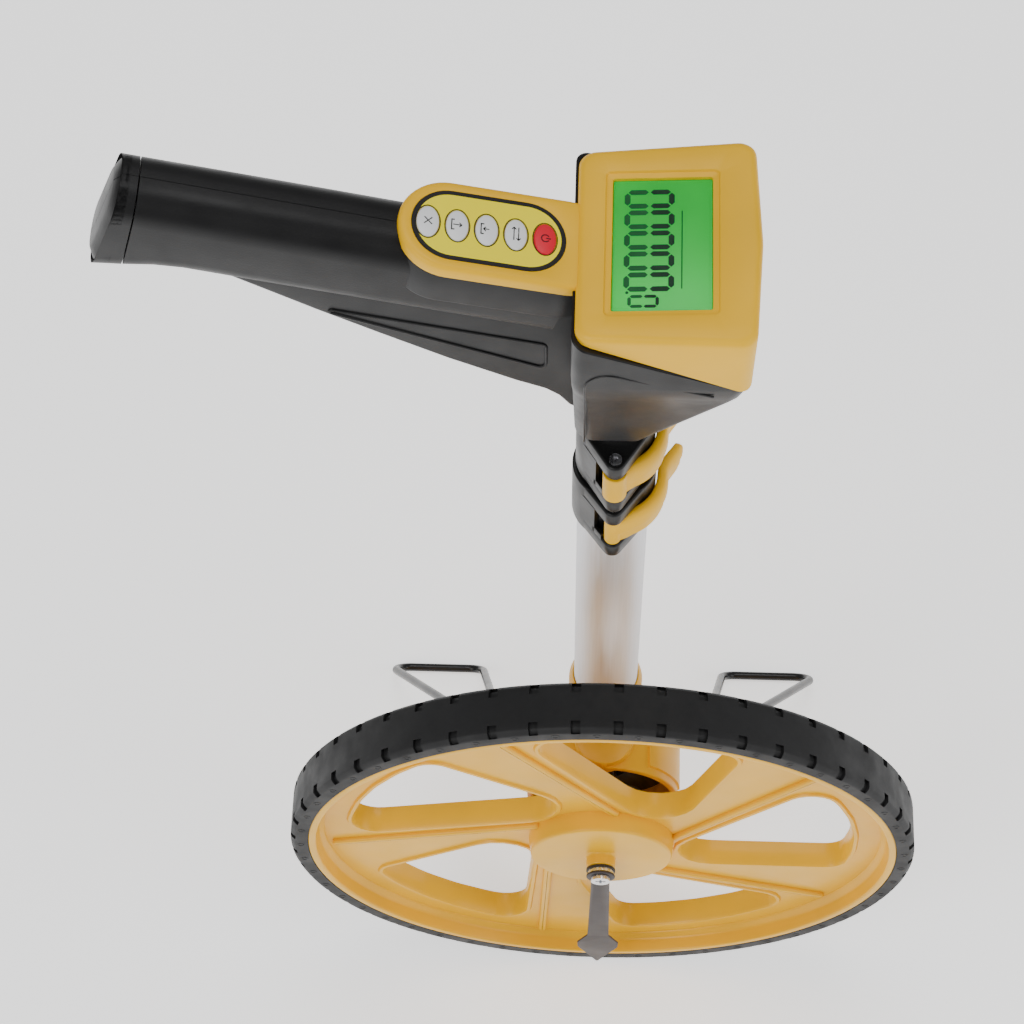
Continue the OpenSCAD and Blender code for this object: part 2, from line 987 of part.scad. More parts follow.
// Domed key with a flange that keeps it under the panel
module key(k)
{
    keypad_frame() translate([key_x(k), 0, 0])
    {
        translate([0, 0, -2.6]) linear_extrude(3.4) polygon(ellipse(key_w / 2, key_l / 2));
        translate([0, 0, -3]) linear_extrude(1.2) polygon(ellipse(key_w / 2 + 0.9, key_l / 2 + 0.9));
    }
}

module power_key()
{
    color([0.9, 0.3, 0.35]) key(0);
}

module unit_key()
{
    color("white") key(1);
}

module store_key()
{
    color("white") key(2);
}

module recall_key()
{
    color("white") key(3);
}

module clear_key()
{
    color("white") key(4);
}

wheel_rim();
wheel_spokes();
wheel_hub();
tyre();
wheel_bearings();
magnet_ring();
axle();
bearing_spacer();
front_washer();
front_spacer();
axle_end_screw();
pointer();
bracket_housing();
sensor_carrier();
sensor_board();
carrier_screws();
rear_cover();
cover_screws();
housing_top_screw();
stand_shaft();
stand_collars();
left_stand_leg();
right_stand_leg();
lower_tube();
mid_tube();
upper_tube();
mid_guide_bush();
upper_guide_bush();
lower_clamp();
upper_clamp();
lower_lever();
upper_lever();
lower_lever_pin();
upper_lever_pin();
signal_cable();
left_handle_shell();
right_handle_shell();
shell_screws();
top_cover();
display_lens();
display_module();
main_board();
keypad_panel();
keypad_pad();
keypad_board();
power_key();
unit_key();
store_key();
recall_key();
clear_key();
battery_cap();
battery_tray();
battery_cells();
battery_contacts();
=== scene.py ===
"""Looks for the measuring wheel: moulded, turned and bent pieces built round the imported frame."""

import json
import math

import bmesh
import bpy
from mathutils import Matrix, Vector


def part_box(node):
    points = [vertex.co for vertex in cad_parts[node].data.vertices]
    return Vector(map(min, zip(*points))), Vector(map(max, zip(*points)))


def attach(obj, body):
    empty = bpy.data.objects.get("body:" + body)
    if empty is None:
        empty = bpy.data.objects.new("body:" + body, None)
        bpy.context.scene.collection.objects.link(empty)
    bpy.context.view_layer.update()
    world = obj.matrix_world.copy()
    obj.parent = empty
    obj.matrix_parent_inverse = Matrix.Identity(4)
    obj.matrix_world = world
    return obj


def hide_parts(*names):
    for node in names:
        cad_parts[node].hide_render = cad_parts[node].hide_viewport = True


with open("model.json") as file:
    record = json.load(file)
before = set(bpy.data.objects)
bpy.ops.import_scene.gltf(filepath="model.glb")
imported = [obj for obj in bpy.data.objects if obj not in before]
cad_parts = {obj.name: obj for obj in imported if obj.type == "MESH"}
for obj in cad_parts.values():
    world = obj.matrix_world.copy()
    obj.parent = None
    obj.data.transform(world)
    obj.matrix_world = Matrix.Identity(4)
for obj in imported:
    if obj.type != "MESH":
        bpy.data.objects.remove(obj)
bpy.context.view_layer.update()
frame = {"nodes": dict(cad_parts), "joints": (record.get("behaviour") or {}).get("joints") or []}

MM = 0.001


# ---- places taken from the frame ------------------------------------------------------------------

def middle(node):
    """Centre of a node's box."""
    low, high = (Vector(c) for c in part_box(node))
    return (low + high) / 2


def joint_of(name):
    return next(j for j in frame["joints"] if j["name"] == name)


HUB = Vector(joint_of("wheel_spin")["pos_m"])
TYRE_LOW, TYRE_HIGH = (Vector(c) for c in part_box("tyre"))
WHEEL_R = (TYRE_HIGH.x - TYRE_LOW.x) / 2
HALF_W = TYRE_HIGH.y
RIM_R = WHEEL_R - 9 * MM
POLE = middle("lower_tube")
STAND_PIVOT = Vector(joint_of("stand_fold")["pos_m"])
OPENINGS = 5


# ---- mesh helpers ---------------------------------------------------------------------------------

def finish_piece(name, mesh, body, nodes=(), material=None, smooth=40):
    """Makes an object of a bmesh at the origin, smooth-shaded up to an angle, riding on its body."""
    bmesh.ops.recalc_face_normals(mesh, faces=mesh.faces)
    data = bpy.data.meshes.new(name)
    mesh.to_mesh(data)
    mesh.free()
    piece = bpy.data.objects.new(name, data)
    bpy.context.scene.collection.objects.link(piece)
    data.polygons.foreach_set("use_smooth", [True] * len(data.polygons))
    data.set_sharp_from_angle(angle=math.radians(smooth))
    if material:
        data.materials.append(material)
    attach(piece, body)
    if nodes:
        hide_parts(*nodes)
    return piece


def loop_at(mesh, points, place=Matrix()):
    """Closed ring of edges through the points."""
    verts = [mesh.verts.new(place @ Vector(p)) for p in points]
    return [mesh.edges.new((verts[i - 1], verts[i])) for i in range(len(verts))]


def loft(mesh, rings, place=Matrix(), cap=(True, True), closed=False):
    """Skin through rings of equal point counts; a closed one returns to its first ring."""
    if closed:
        rows = [[mesh.verts.new(place @ Vector(p)) for p in ring] for ring in rings]
        for a, b in zip(rows, rows[1:] + rows[:1]):
            for i in range(len(a)):
                mesh.faces.new((a[i - 1], a[i], b[i], b[i - 1]))
        return
    loops = [loop_at(mesh, ring, place) for ring in rings]
    for a, b in zip(loops, loops[1:]):
        bmesh.ops.bridge_loops(mesh, edges=a + b)
    for wanted, loop in zip(cap, (loops[0], loops[-1])):
        if wanted:
            bmesh.ops.contextual_create(mesh, geom=loop)


def rounded_box(x0, x1, y0, y1, r, steps=6):
    """Outline of a rectangle with round corners."""
    centres = [(x1 - r, y1 - r, 0), (x0 + r, y1 - r, 90), (x0 + r, y0 + r, 180), (x1 - r, y0 + r, 270)]
    return [(cx + r * math.cos(math.radians(a + 90 * k / steps)), cy + r * math.sin(math.radians(a + 90 * k / steps)))
            for cx, cy, a in centres for k in range(steps + 1)]


def rounded_outline(points, radii, steps=6):
    """Outline with an arc at each corner."""
    out = []
    n = len(points)
    for i, r in zip(range(n), radii if isinstance(radii, (list, tuple)) else [radii] * n):
        a, b, c = (Vector(points[(i + k) % n]) for k in (-1, 0, 1))
        u, v = (a - b).normalized(), (c - b).normalized()
        half = u.angle(v) / 2
        centre = b + (u + v).normalized() * (r / math.sin(half))
        start = b + u * (r / math.tan(half)) - centre
        turn = (b + v * (r / math.tan(half)) - centre).angle_signed(start)
        for k in range(steps + 1):
            out.append(tuple(centre + Matrix.Rotation(turn * k / steps, 2) @ start))
    return out


def stadium(x0, x1, half, steps=16):
    """Outline with two straight sides and round ends."""
    left = [(x0 + half + half * math.cos(a), half * math.sin(a))
            for a in (math.pi / 2 + math.pi * k / steps for k in range(steps + 1))]
    right = [(x1 - half + half * math.cos(a), half * math.sin(a))
             for a in (-math.pi / 2 + math.pi * k / steps for k in range(steps + 1))]
    return left + right


def raised(points, z):
    return [(x, y, z) for x, y in points]


def inset(points, d):
    """Outline drawn in by d towards its middle, along its own corners' bisectors."""
    out = []
    n = len(points)
    for i in range(n):
        a, b, c = (Vector(points[(i + k) % n]) for k in (-1, 0, 1))
        t = (c - a).normalized()
        out.append(tuple(b + Vector((-t.y, t.x)) * d))
    return out


def slab(mesh, outline, z0, z1, edge=0.0, place=Matrix(), steps=3):
    """Plate with rounded top and bottom edges, from an outline that runs anticlockwise."""
    rings = []
    if edge:
        for k in range(steps + 1):
            a = math.pi / 2 * k / steps
            rings.append(raised(inset(outline, edge * (1 - math.sin(a))), z0 + edge * (1 - math.cos(a))))
        for k in range(steps + 1):
            a = math.pi / 2 * k / steps
            rings.append(raised(inset(outline, edge * (1 - math.cos(a))), z1 - edge * (1 - math.sin(a))))
    else:
        rings = [raised(outline, z0), raised(outline, z1)]
    loft(mesh, rings, place)


def join(mesh, other, place=Matrix()):
    """Adds another bmesh's geometry to mesh, set at place, and frees it."""
    bmesh.ops.transform(other, matrix=place, verts=other.verts)
    data = bpy.data.meshes.new("part")
    other.to_mesh(data)
    other.free()
    mesh.from_mesh(data)
    bpy.data.meshes.remove(data)


def fill_flat(mesh, edges):
    """Fills a flat region between loops. The fill is done in millimetres, where its tolerance is fine."""
    bmesh.ops.scale(mesh, vec=(1000, 1000, 1000), verts=mesh.verts)
    bmesh.ops.triangle_fill(mesh, use_beauty=True, use_dissolve=False, edges=edges)
    bmesh.ops.scale(mesh, vec=(MM, MM, MM), verts=mesh.verts)


def lathe(mesh, profile, place, steps=96):
    """Solid of revolution: profile points are (radius, height); ends on the axis are closed."""
    part = bmesh.new()
    verts = [part.verts.new((r, 0, h)) for r, h in profile]
    edges = [part.edges.new(pair) for pair in zip(verts, verts[1:])]
    if profile[0][0] > 1e-7 and profile[-1][0] > 1e-7:
        edges.append(part.edges.new((verts[-1], verts[0])))
    bmesh.ops.spin(part, geom=verts + edges, cent=(0, 0, 0), axis=(0, 0, 1), angle=math.tau, steps=steps,
                   use_merge=True)
    bmesh.ops.remove_doubles(part, verts=part.verts, dist=1e-7)
    join(mesh, part, place)


def soft_profile(points, r, steps=4):
    """Lathe profile in which every inner corner of the list is rounded."""
    out = [tuple(points[0])]
    for a, b, c in zip(points, points[1:], points[2:]):
        a, b, c = Vector(a), Vector(b), Vector(c)
        u, v = (a - b), (c - b)
        d = min(r, u.length * 0.45, v.length * 0.45)
        p, q = b + u.normalized() * d, b + v.normalized() * d
        for k in range(steps + 1):
            t = k / steps
            out.append(tuple(p * (1 - t) ** 2 + b * 2 * t * (1 - t) + q * t ** 2))
    return out + [tuple(points[-1])]




def along_y(y, x=0.0, z=HUB.z):
    """Place whose own Z runs along +Y from that point."""
    return Matrix.Translation((x, y, z)) @ Matrix.Rotation(math.radians(-90), 4, "X")


def mm(points):
    return [tuple(c * MM for c in p) for p in points]


# ---- wheel ----------------------------------------------------------------------------------------

def opening_outline(turn, grow=0.0):
    """Outline of one opening between two spokes, in X-Z about the hub, in metres."""
    reach, tip = 128.5, (20.0, -28.0)
    angles = [math.radians(-12.5 + 9.6 * k) for k in range(6)]
    side = [(reach * math.cos(a), reach * math.sin(a)) for a in angles]
    points = rounded_outline([tip] + side, [18, 10] + [60] * (len(side) - 2) + [12], 6)
    spin = Matrix.Rotation(math.radians(turn), 2)
    return [tuple(spin @ Vector(p) * MM) for p in (inset(points, -grow) if grow else points)]


def upright(y):
    """Place whose X-Y outline stands in X-Z about the hub, its own Z running towards -Y from y."""
    return Matrix.Translation((0, y, HUB.z)) @ Matrix.Rotation(math.radians(90), 4, "X")


def make_wheel(material):
    mesh = bmesh.new()
    front, back = -3.0 * MM, 4.0 * MM
    web_r, hub_r = RIM_R - 4.5 * MM, 36 * MM
    # web: one fifth of a flat ring round its opening, repeated and thickened backwards
    plate, part = bmesh.new(), bmesh.new()
    fifth = [math.radians(72 * k / 36) for k in range(37)]
    outside, inside = math.radians(-25), math.radians(-52)
    sector = [(web_r * math.cos(outside + a), web_r * math.sin(outside + a), 0) for a in fifth]
    sector += [(30 * MM * math.cos(inside + a), 30 * MM * math.sin(inside + a), 0) for a in fifth[::-3]]
    fill_flat(part, loop_at(part, sector) + loop_at(part, raised(opening_outline(0, 1.6), 0)))
    for k in range(OPENINGS):
        join(plate, part.copy(), Matrix.Rotation(math.tau * k / OPENINGS, 4, "Z"))
    part.free()
    bmesh.ops.remove_doubles(plate, verts=plate.verts, dist=2e-6)
    grown = bmesh.ops.extrude_face_region(plate, geom=plate.faces[:], use_keep_orig=True)
    moved = [v for v in grown["geom"] if isinstance(v, bmesh.types.BMVert)]
    bmesh.ops.translate(plate, verts=moved, vec=(0, 0, front - back))
    bmesh.ops.recalc_face_normals(plate, faces=plate.faces)
    join(mesh, plate, upright(front))
    # raised lip round each opening, reaching back as a stiffening wall
    for k in range(OPENINGS):
        inner = opening_outline(72 * k)
        outer = opening_outline(72 * k, 3.2)
        loft(mesh, [raised(inner, 0), raised(inset(inner, -0.8 * MM), 1.2 * MM), raised(inset(outer, 0.8 * MM), 1.2 * MM),
                    raised(outer, 0), raised(outer, -12 * MM), raised(inner, -12 * MM)],
             upright(front), closed=True)
    # rim: barrel with two lips
    lip = 4 * MM
    inner_r = RIM_R - lip
    profile = [(inner_r - 3 * MM, back + 0.5 * MM), (inner_r - 1 * MM, back + 2 * MM), (inner_r, HALF_W),
               (RIM_R, HALF_W), (RIM_R, -HALF_W), (inner_r, -HALF_W), (inner_r - 1 * MM, front - 3 * MM),
               (inner_r - 4 * MM, front - 0.2 * MM), (inner_r - 4 * MM, back + 0.5 * MM)]
    closed_profile = soft_profile(profile, 1.1 * MM) + [profile[0]]
    lathe(mesh, closed_profile[:-1], Matrix.Translation((0, 0, HUB.z)) @ Matrix.Rotation(math.radians(-90), 4, "X"), 180)
    # hub: flat disc with a rounded shoulder, and the small boss in front of it
    boss = 7.4 * MM
    hub = [(0, -19.5 * MM), (boss, -19.5 * MM), (boss, -HALF_W), (hub_r, -HALF_W), (hub_r + 1.5 * MM, front + 1 * MM),
           (28 * MM, 6 * MM), (26.5 * MM, HALF_W), (0, HALF_W)]
    lathe(mesh, soft_profile(hub, 1.6 * MM, 5), along_y(0), 128)
    # round-topped rib beside the leading edge of each spoke
    for k in range(OPENINGS):
        place = upright(front) @ Matrix.Rotation(math.radians(72 * k), 4, "Z") \
            @ Matrix.Translation((36 * MM, 4 * MM, 0)) @ Matrix.Rotation(math.radians(51.9), 4, "Z")
        slab(mesh, rounded_box(0, 112 * MM, -2.3 * MM, 2.3 * MM, 2.2 * MM, 4), -1.0 * MM, 2.5 * MM, 1.5 * MM, place, 4)
    return finish_piece("wheel_moulding", mesh, "wheel", ["wheel_rim", "wheel_spokes", "wheel_hub"], material)


def make_tyre(material):
    """One notch-and-dimple sector, spun round the wheel."""
    notches = 50
    step = math.tau / notches
    edge = 2.2 * MM
    section = soft_profile([(RIM_R, -HALF_W), (WHEEL_R - edge, -HALF_W), (WHEEL_R, -HALF_W + edge),
                            (WHEEL_R, HALF_W - edge), (WHEEL_R - edge, HALF_W), (RIM_R, HALF_W)], 0.7 * MM, 2)
    half = [p for p in section if p[1] < 0]
    half += [(WHEEL_R, -HALF_W + 6 * MM), (WHEEL_R, 0)]
    mirrored = [(r, -y) for r, y in reversed(half[:-1])]
    points = half + mirrored
    mesh = bmesh.new()
    notch = 5.0 * MM / WHEEL_R
    stops = [0, notch, notch + (step - notch) * 0.42, notch + (step - notch) * 0.58, step]
    turn = notch / 2 - math.radians(88)
    rows = [[mesh.verts.new((r * math.cos(a), y, r * math.sin(a))) for r, y in points] for a in stops]
    edges = [mesh.edges.new(pair) for row in rows for pair in zip(row, row[1:])]
    count = len(points) - 1
    for i in range(len(rows) - 1):
        bmesh.ops.bridge_loops(mesh, edges=edges[i * count:(i + 1) * count] + edges[(i + 1) * count:(i + 2) * count])
    def angle(face):
        c = face.calc_center_median()
        return math.atan2(c.z, c.x)
    def radius(face):
        c = face.calc_center_median()
        return math.hypot(c.x, c.z)
    for side in (-1, 1):
        cut = [f for f in mesh.faces if angle(f) < notch and side * f.calc_center_median().y > HALF_W - 6.1 * MM
               and radius(f) > WHEEL_R - 4.4 * MM]
        bmesh.ops.inset_region(mesh, faces=cut, thickness=0.25 * MM, depth=0, use_boundary=True,
                               use_even_offset=True)
        deep = bmesh.ops.extrude_face_region(mesh, geom=cut)
        verts = [v for v in deep["geom"] if isinstance(v, bmesh.types.BMVert)]
        bmesh.ops.delete(mesh, geom=cut, context="FACES")
        middle_dir = Vector((math.cos(notch / 2), 0, math.sin(notch / 2)))
        bmesh.ops.translate(mesh, verts=verts, vec=-middle_dir * 1.7 * MM - Vector((0, side * 0.7 * MM, 0)))
    whole = mesh.verts[:] + mesh.edges[:] + mesh.faces[:]
    bmesh.ops.spin(mesh, geom=whole, cent=(0, 0, 0), axis=(0, -1, 0), angle=math.tau, steps=notches,
                   use_duplicate=True, use_merge=False)
    bmesh.ops.remove_doubles(mesh, verts=mesh.verts, dist=2e-6)
    bmesh.ops.transform(mesh, matrix=Matrix.Translation((0, 0, HUB.z)) @ Matrix.Rotation(turn, 4, "Y"), verts=mesh.verts)
    # inner face on the rim
    open_edges = [e for e in mesh.edges if e.is_boundary]
    bmesh.ops.bridge_loops(mesh, edges=open_edges)
    # dimples on both walls
    for k in range(notches):
        a = step * (k + 0.5) + math.radians(90) - math.radians(2)
        for side in (-1, 1):
            at = (154 * MM * math.cos(a), side * (HALF_W - 0.1 * MM), HUB.z + 154 * MM * math.sin(a))
            dimple = [(0, 0), (1.2 * MM, 0), (1.2 * MM, 0.25 * MM), (1.9 * MM, 0.25 * MM), (1.9 * MM, -0.4 * MM)]
            place = Matrix.Translation(at) @ Matrix.Rotation(math.radians(-90 * side), 4, "X")
            lathe(mesh, dimple + [(0, -0.4 * MM)], place, 8)
    return finish_piece("tyre_moulding", mesh, "wheel", ["tyre"], material, 35)


# ---- materials ------------------------------------------------------------------------------------

def new_material(name, colour, rough, metal=0.0, coat=0.0):
    material = bpy.data.materials.new(name)
    material.use_nodes = True
    shader = material.node_tree.nodes["Principled BSDF"]
    shader.inputs["Base Color"].default_value = (*colour, 1)
    shader.inputs["Roughness"].default_value = rough
    shader.inputs["Metallic"].default_value = metal
    shader.inputs["Coat Weight"].default_value = coat
    shader.inputs["Coat Roughness"].default_value = 0.12
    return material, shader


def grain(material, scale, stretch=(1, 1, 1), detail=3.0):
    """Noise over the piece's own metres, as a socket."""
    nodes, links = material.node_tree.nodes, material.node_tree.links
    place = nodes.new("ShaderNodeTexCoord")
    mapping = nodes.new("ShaderNodeMapping")
    mapping.inputs["Scale"].default_value = stretch
    noise = nodes.new("ShaderNodeTexNoise")
    noise.inputs["Scale"].default_value = scale
    noise.inputs["Detail"].default_value = detail
    links.new(place.outputs["Object"], mapping.inputs["Vector"])
    links.new(mapping.outputs["Vector"], noise.inputs["Vector"])
    return noise.outputs["Fac"]


def tint(material, shader, height, dark, light, low=0.35, high=0.65):
    """Base colour that wanders between two shades."""
    ramp = material.node_tree.nodes.new("ShaderNodeValToRGB")
    ramp.color_ramp.elements[0].position, ramp.color_ramp.elements[1].position = low, high
    ramp.color_ramp.elements[0].color, ramp.color_ramp.elements[1].color = (*dark, 1), (*light, 1)
    material.node_tree.links.new(height, ramp.inputs["Fac"])
    material.node_tree.links.new(ramp.outputs["Color"], shader.inputs["Base Color"])


def sheen_change(material, shader, height, low, high):
    """Roughness that wanders between two values."""
    change = material.node_tree.nodes.new("ShaderNodeMapRange")
    change.inputs["From Min"].default_value, change.inputs["From Max"].default_value = 0.3, 0.7
    change.inputs["To Min"].default_value, change.inputs["To Max"].default_value = low, high
    material.node_tree.links.new(height, change.inputs["Value"])
    material.node_tree.links.new(change.outputs["Result"], shader.inputs["Roughness"])


def relief(material, shader, height, distance, strength=0.5):
    bump = material.node_tree.nodes.new("ShaderNodeBump")
    bump.inputs["Strength"].default_value = strength
    bump.inputs["Distance"].default_value = distance
    material.node_tree.links.new(height, bump.inputs["Height"])
    if shader.inputs["Normal"].is_linked:
        material.node_tree.links.new(shader.inputs["Normal"].links[0].from_socket, bump.inputs["Normal"])
    material.node_tree.links.new(bump.outputs["Normal"], shader.inputs["Normal"])


def shade(colour, k):
    return tuple(min(1.0, c * k) for c in colour)


def moulded(name, colour, rough, texture=0.00004, scale=1400, coat=0.0, spread=0.06):
    """Injection-moulded plastic: flow shading, uneven gloss and a fine mould texture."""
    material, shader = new_material(name, colour, rough, coat=coat)
    broad, fine = grain(material, 18), grain(material, scale, detail=2)
    tint(material, shader, broad, shade(colour, 1 - spread), shade(colour, 1 + spread))
    sheen_change(material, shader, grain(material, 60), rough - 0.05, rough + 0.07)
    relief(material, shader, fine, texture)
    shader.inputs["Specular IOR Level"].default_value = 0.3
    return material


def turned_metal(name, colour, rough, along=(1, 1, 1), spread=0.05, aniso=0.0):
    """Drawn or turned metal: streaks along one way, with small changes of gloss."""
    material, shader = new_material(name, colour, rough, metal=1.0)
    shader.inputs["Anisotropic"].default_value = aniso
    streak = grain(material, 900, along, 4)
    tint(material, shader, streak, shade(colour, 1 - spread), shade(colour, 1 + spread))
    sheen_change(material, shader, streak, rough - 0.04, rough + 0.08)
    relief(material, shader, streak, 0.00002, 0.35)
    return material


def rubber(name, colour, rough):
    """Moulded rubber with dust in its texture and a faint worn bloom."""
    material, shader = new_material(name, colour, rough)
    tint(material, shader, grain(material, 35, detail=6), shade(colour, 0.8), shade(colour, 1.5), 0.3, 0.75)
    sheen_change(material, shader, grain(material, 90), rough - 0.08, rough + 0.08)
    relief(material, shader, grain(material, 2600, detail=2), 0.00005, 0.6)
    relief(material, shader, grain(material, 240), 0.0001, 0.25)
    return material


def glass_window(name):
    material, shader = new_material(name, (0.5, 1.0, 0.6), 0.03)
    shader.inputs["Transmission Weight"].default_value = 1.0
    shader.inputs["IOR"].default_value = 1.05
    shader.inputs["Alpha"].default_value = 0.1
    sheen_change(material, shader, grain(material, 220, detail=4), 0.02, 0.07)
    return material


def lit_panel(name, colour, strength):
    """Backlit panel: brighter where the lamps sit behind it."""
    material, shader = new_material(name, colour, 0.35)
    glow = grain(material, 28, (1.0, 0.7, 1.0), 1)
    tint(material, shader, glow, shade(colour, 0.72), shade(colour, 1.12), 0.25, 0.7)
    shader.inputs["Emission Color"].default_value = (*colour, 1)
    shader.inputs["Emission Strength"].default_value = strength
    relief(material, shader, grain(material, 3000), 0.00001, 0.2)
    return material


YELLOW = moulded("golden_yellow_plastic", (0.88, 0.47, 0.0), 0.36, coat=0.1)
COVER_YELLOW = moulded("cover_yellow_plastic", (0.90, 0.50, 0.0), 0.44, texture=0.00006, coat=0.03)
LEVER_YELLOW = moulded("lever_nylon", (0.88, 0.48, 0.003), 0.46, texture=0.00008)
BLACK = moulded("black_shell_plastic", (0.006, 0.006, 0.0065), 0.40, texture=0.00010, scale=1700, spread=0.12)
CLAMP_BLACK = moulded("black_clamp_nylon", (0.006, 0.006, 0.006), 0.34, texture=0.00005, spread=0.12)
CARRIER_BLACK = moulded("black_inner_plastic", (0.018, 0.018, 0.019), 0.5, texture=0.0001)
TYRE = rubber("tyre_rubber", (0.006, 0.006, 0.0065), 0.62)
WASHER = rubber("washer_rubber", (0.02, 0.02, 0.02), 0.55)
PAD = rubber("silicone_pad", (0.3, 0.3, 0.31), 0.6)
CABLE = rubber("cable_sheath", (0.02, 0.02, 0.02), 0.5)
ALUMINIUM = turned_metal("satin_aluminium", (0.74, 0.74, 0.76), 0.5, (1, 1, 0.03), 0.04, 0.3)
ZINC = turned_metal("zinc_plating", (0.72, 0.73, 0.76), 0.25, (1, 1, 1))
STEEL = turned_metal("ground_steel", (0.60, 0.60, 0.62), 0.28, (1, 0.05, 1))
BLACK_STEEL = moulded("dipped_black_steel", (0.012, 0.012, 0.013), 0.32, texture=0.00003, scale=700, coat=0.3)
POINTER_GREY = moulded("dark_grey_paint", (0.055, 0.045, 0.045), 0.45, texture=0.00004, scale=1100, spread=0.14)
FERRITE = moulded("bonded_ferrite", (0.06, 0.06, 0.065), 0.6, texture=0.0001)
BOARD = moulded("green_circuit_board", (0.02, 0.16, 0.06), 0.35, texture=0.00002, coat=0.4)
LEMON = moulded("lemon_print_film", (1.0, 0.84, 0.0), 0.33, texture=0.00003, scale=2200, spread=0.03)
PRINT_BLACK = moulded("black_print", (0.012, 0.011, 0.010), 0.38, texture=0.00002)
KEY_WHITE = moulded("white_key_film", (0.80, 0.81, 0.82), 0.36, texture=0.00002, spread=0.02)
KEY_RED = moulded("red_key_film", (0.75, 0.012, 0.035), 0.36, texture=0.00002, spread=0.04)
DISPLAY = lit_panel("lit_green_display", (0.0, 0.50, 0.04), 0.28)
INK = moulded("display_ink", (0.0, 0.022, 0.008), 0.45, texture=0.00001)
FAINT_INK = moulded("display_ink_faint", (0.0, 0.085, 0.02), 0.45, texture=0.00001)
WINDOW = glass_window("clear_window")
CELL = moulded("cell_sleeve", (0.06, 0.16, 0.34), 0.25, texture=0.00002, coat=0.5)
BRASS = turned_metal("plated_brass", (0.78, 0.58, 0.25), 0.25)


# ---- bracket and stand ----------------------------------------------------------------------------

CUP_LOW, CUP_HIGH = (Vector(c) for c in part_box("bracket_housing"))
CUP_R = 39 * MM
CUP_WALL = 3.5 * MM
CUP_FRONT = CUP_LOW.y
COLUMN_R = 18.6 * MM
SOCKET_TOP = CUP_HIGH.z
PAD_Y = middle("housing_top_screw").y
REAR_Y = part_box("rear_cover")[0][1]


def cross_pin(mesh, radius, x0, x1, edge=0.6 * MM, bore=0.0):
    """Round boss along X through the stand's pivot."""
    place = Matrix.Translation(STAND_PIVOT) @ Matrix.Rotation(math.radians(90), 4, "Y")
    profile = soft_profile([(bore, x0), (radius, x0), (radius, x1), (bore, x1)], edge)
    lathe(mesh, profile, place, 48)


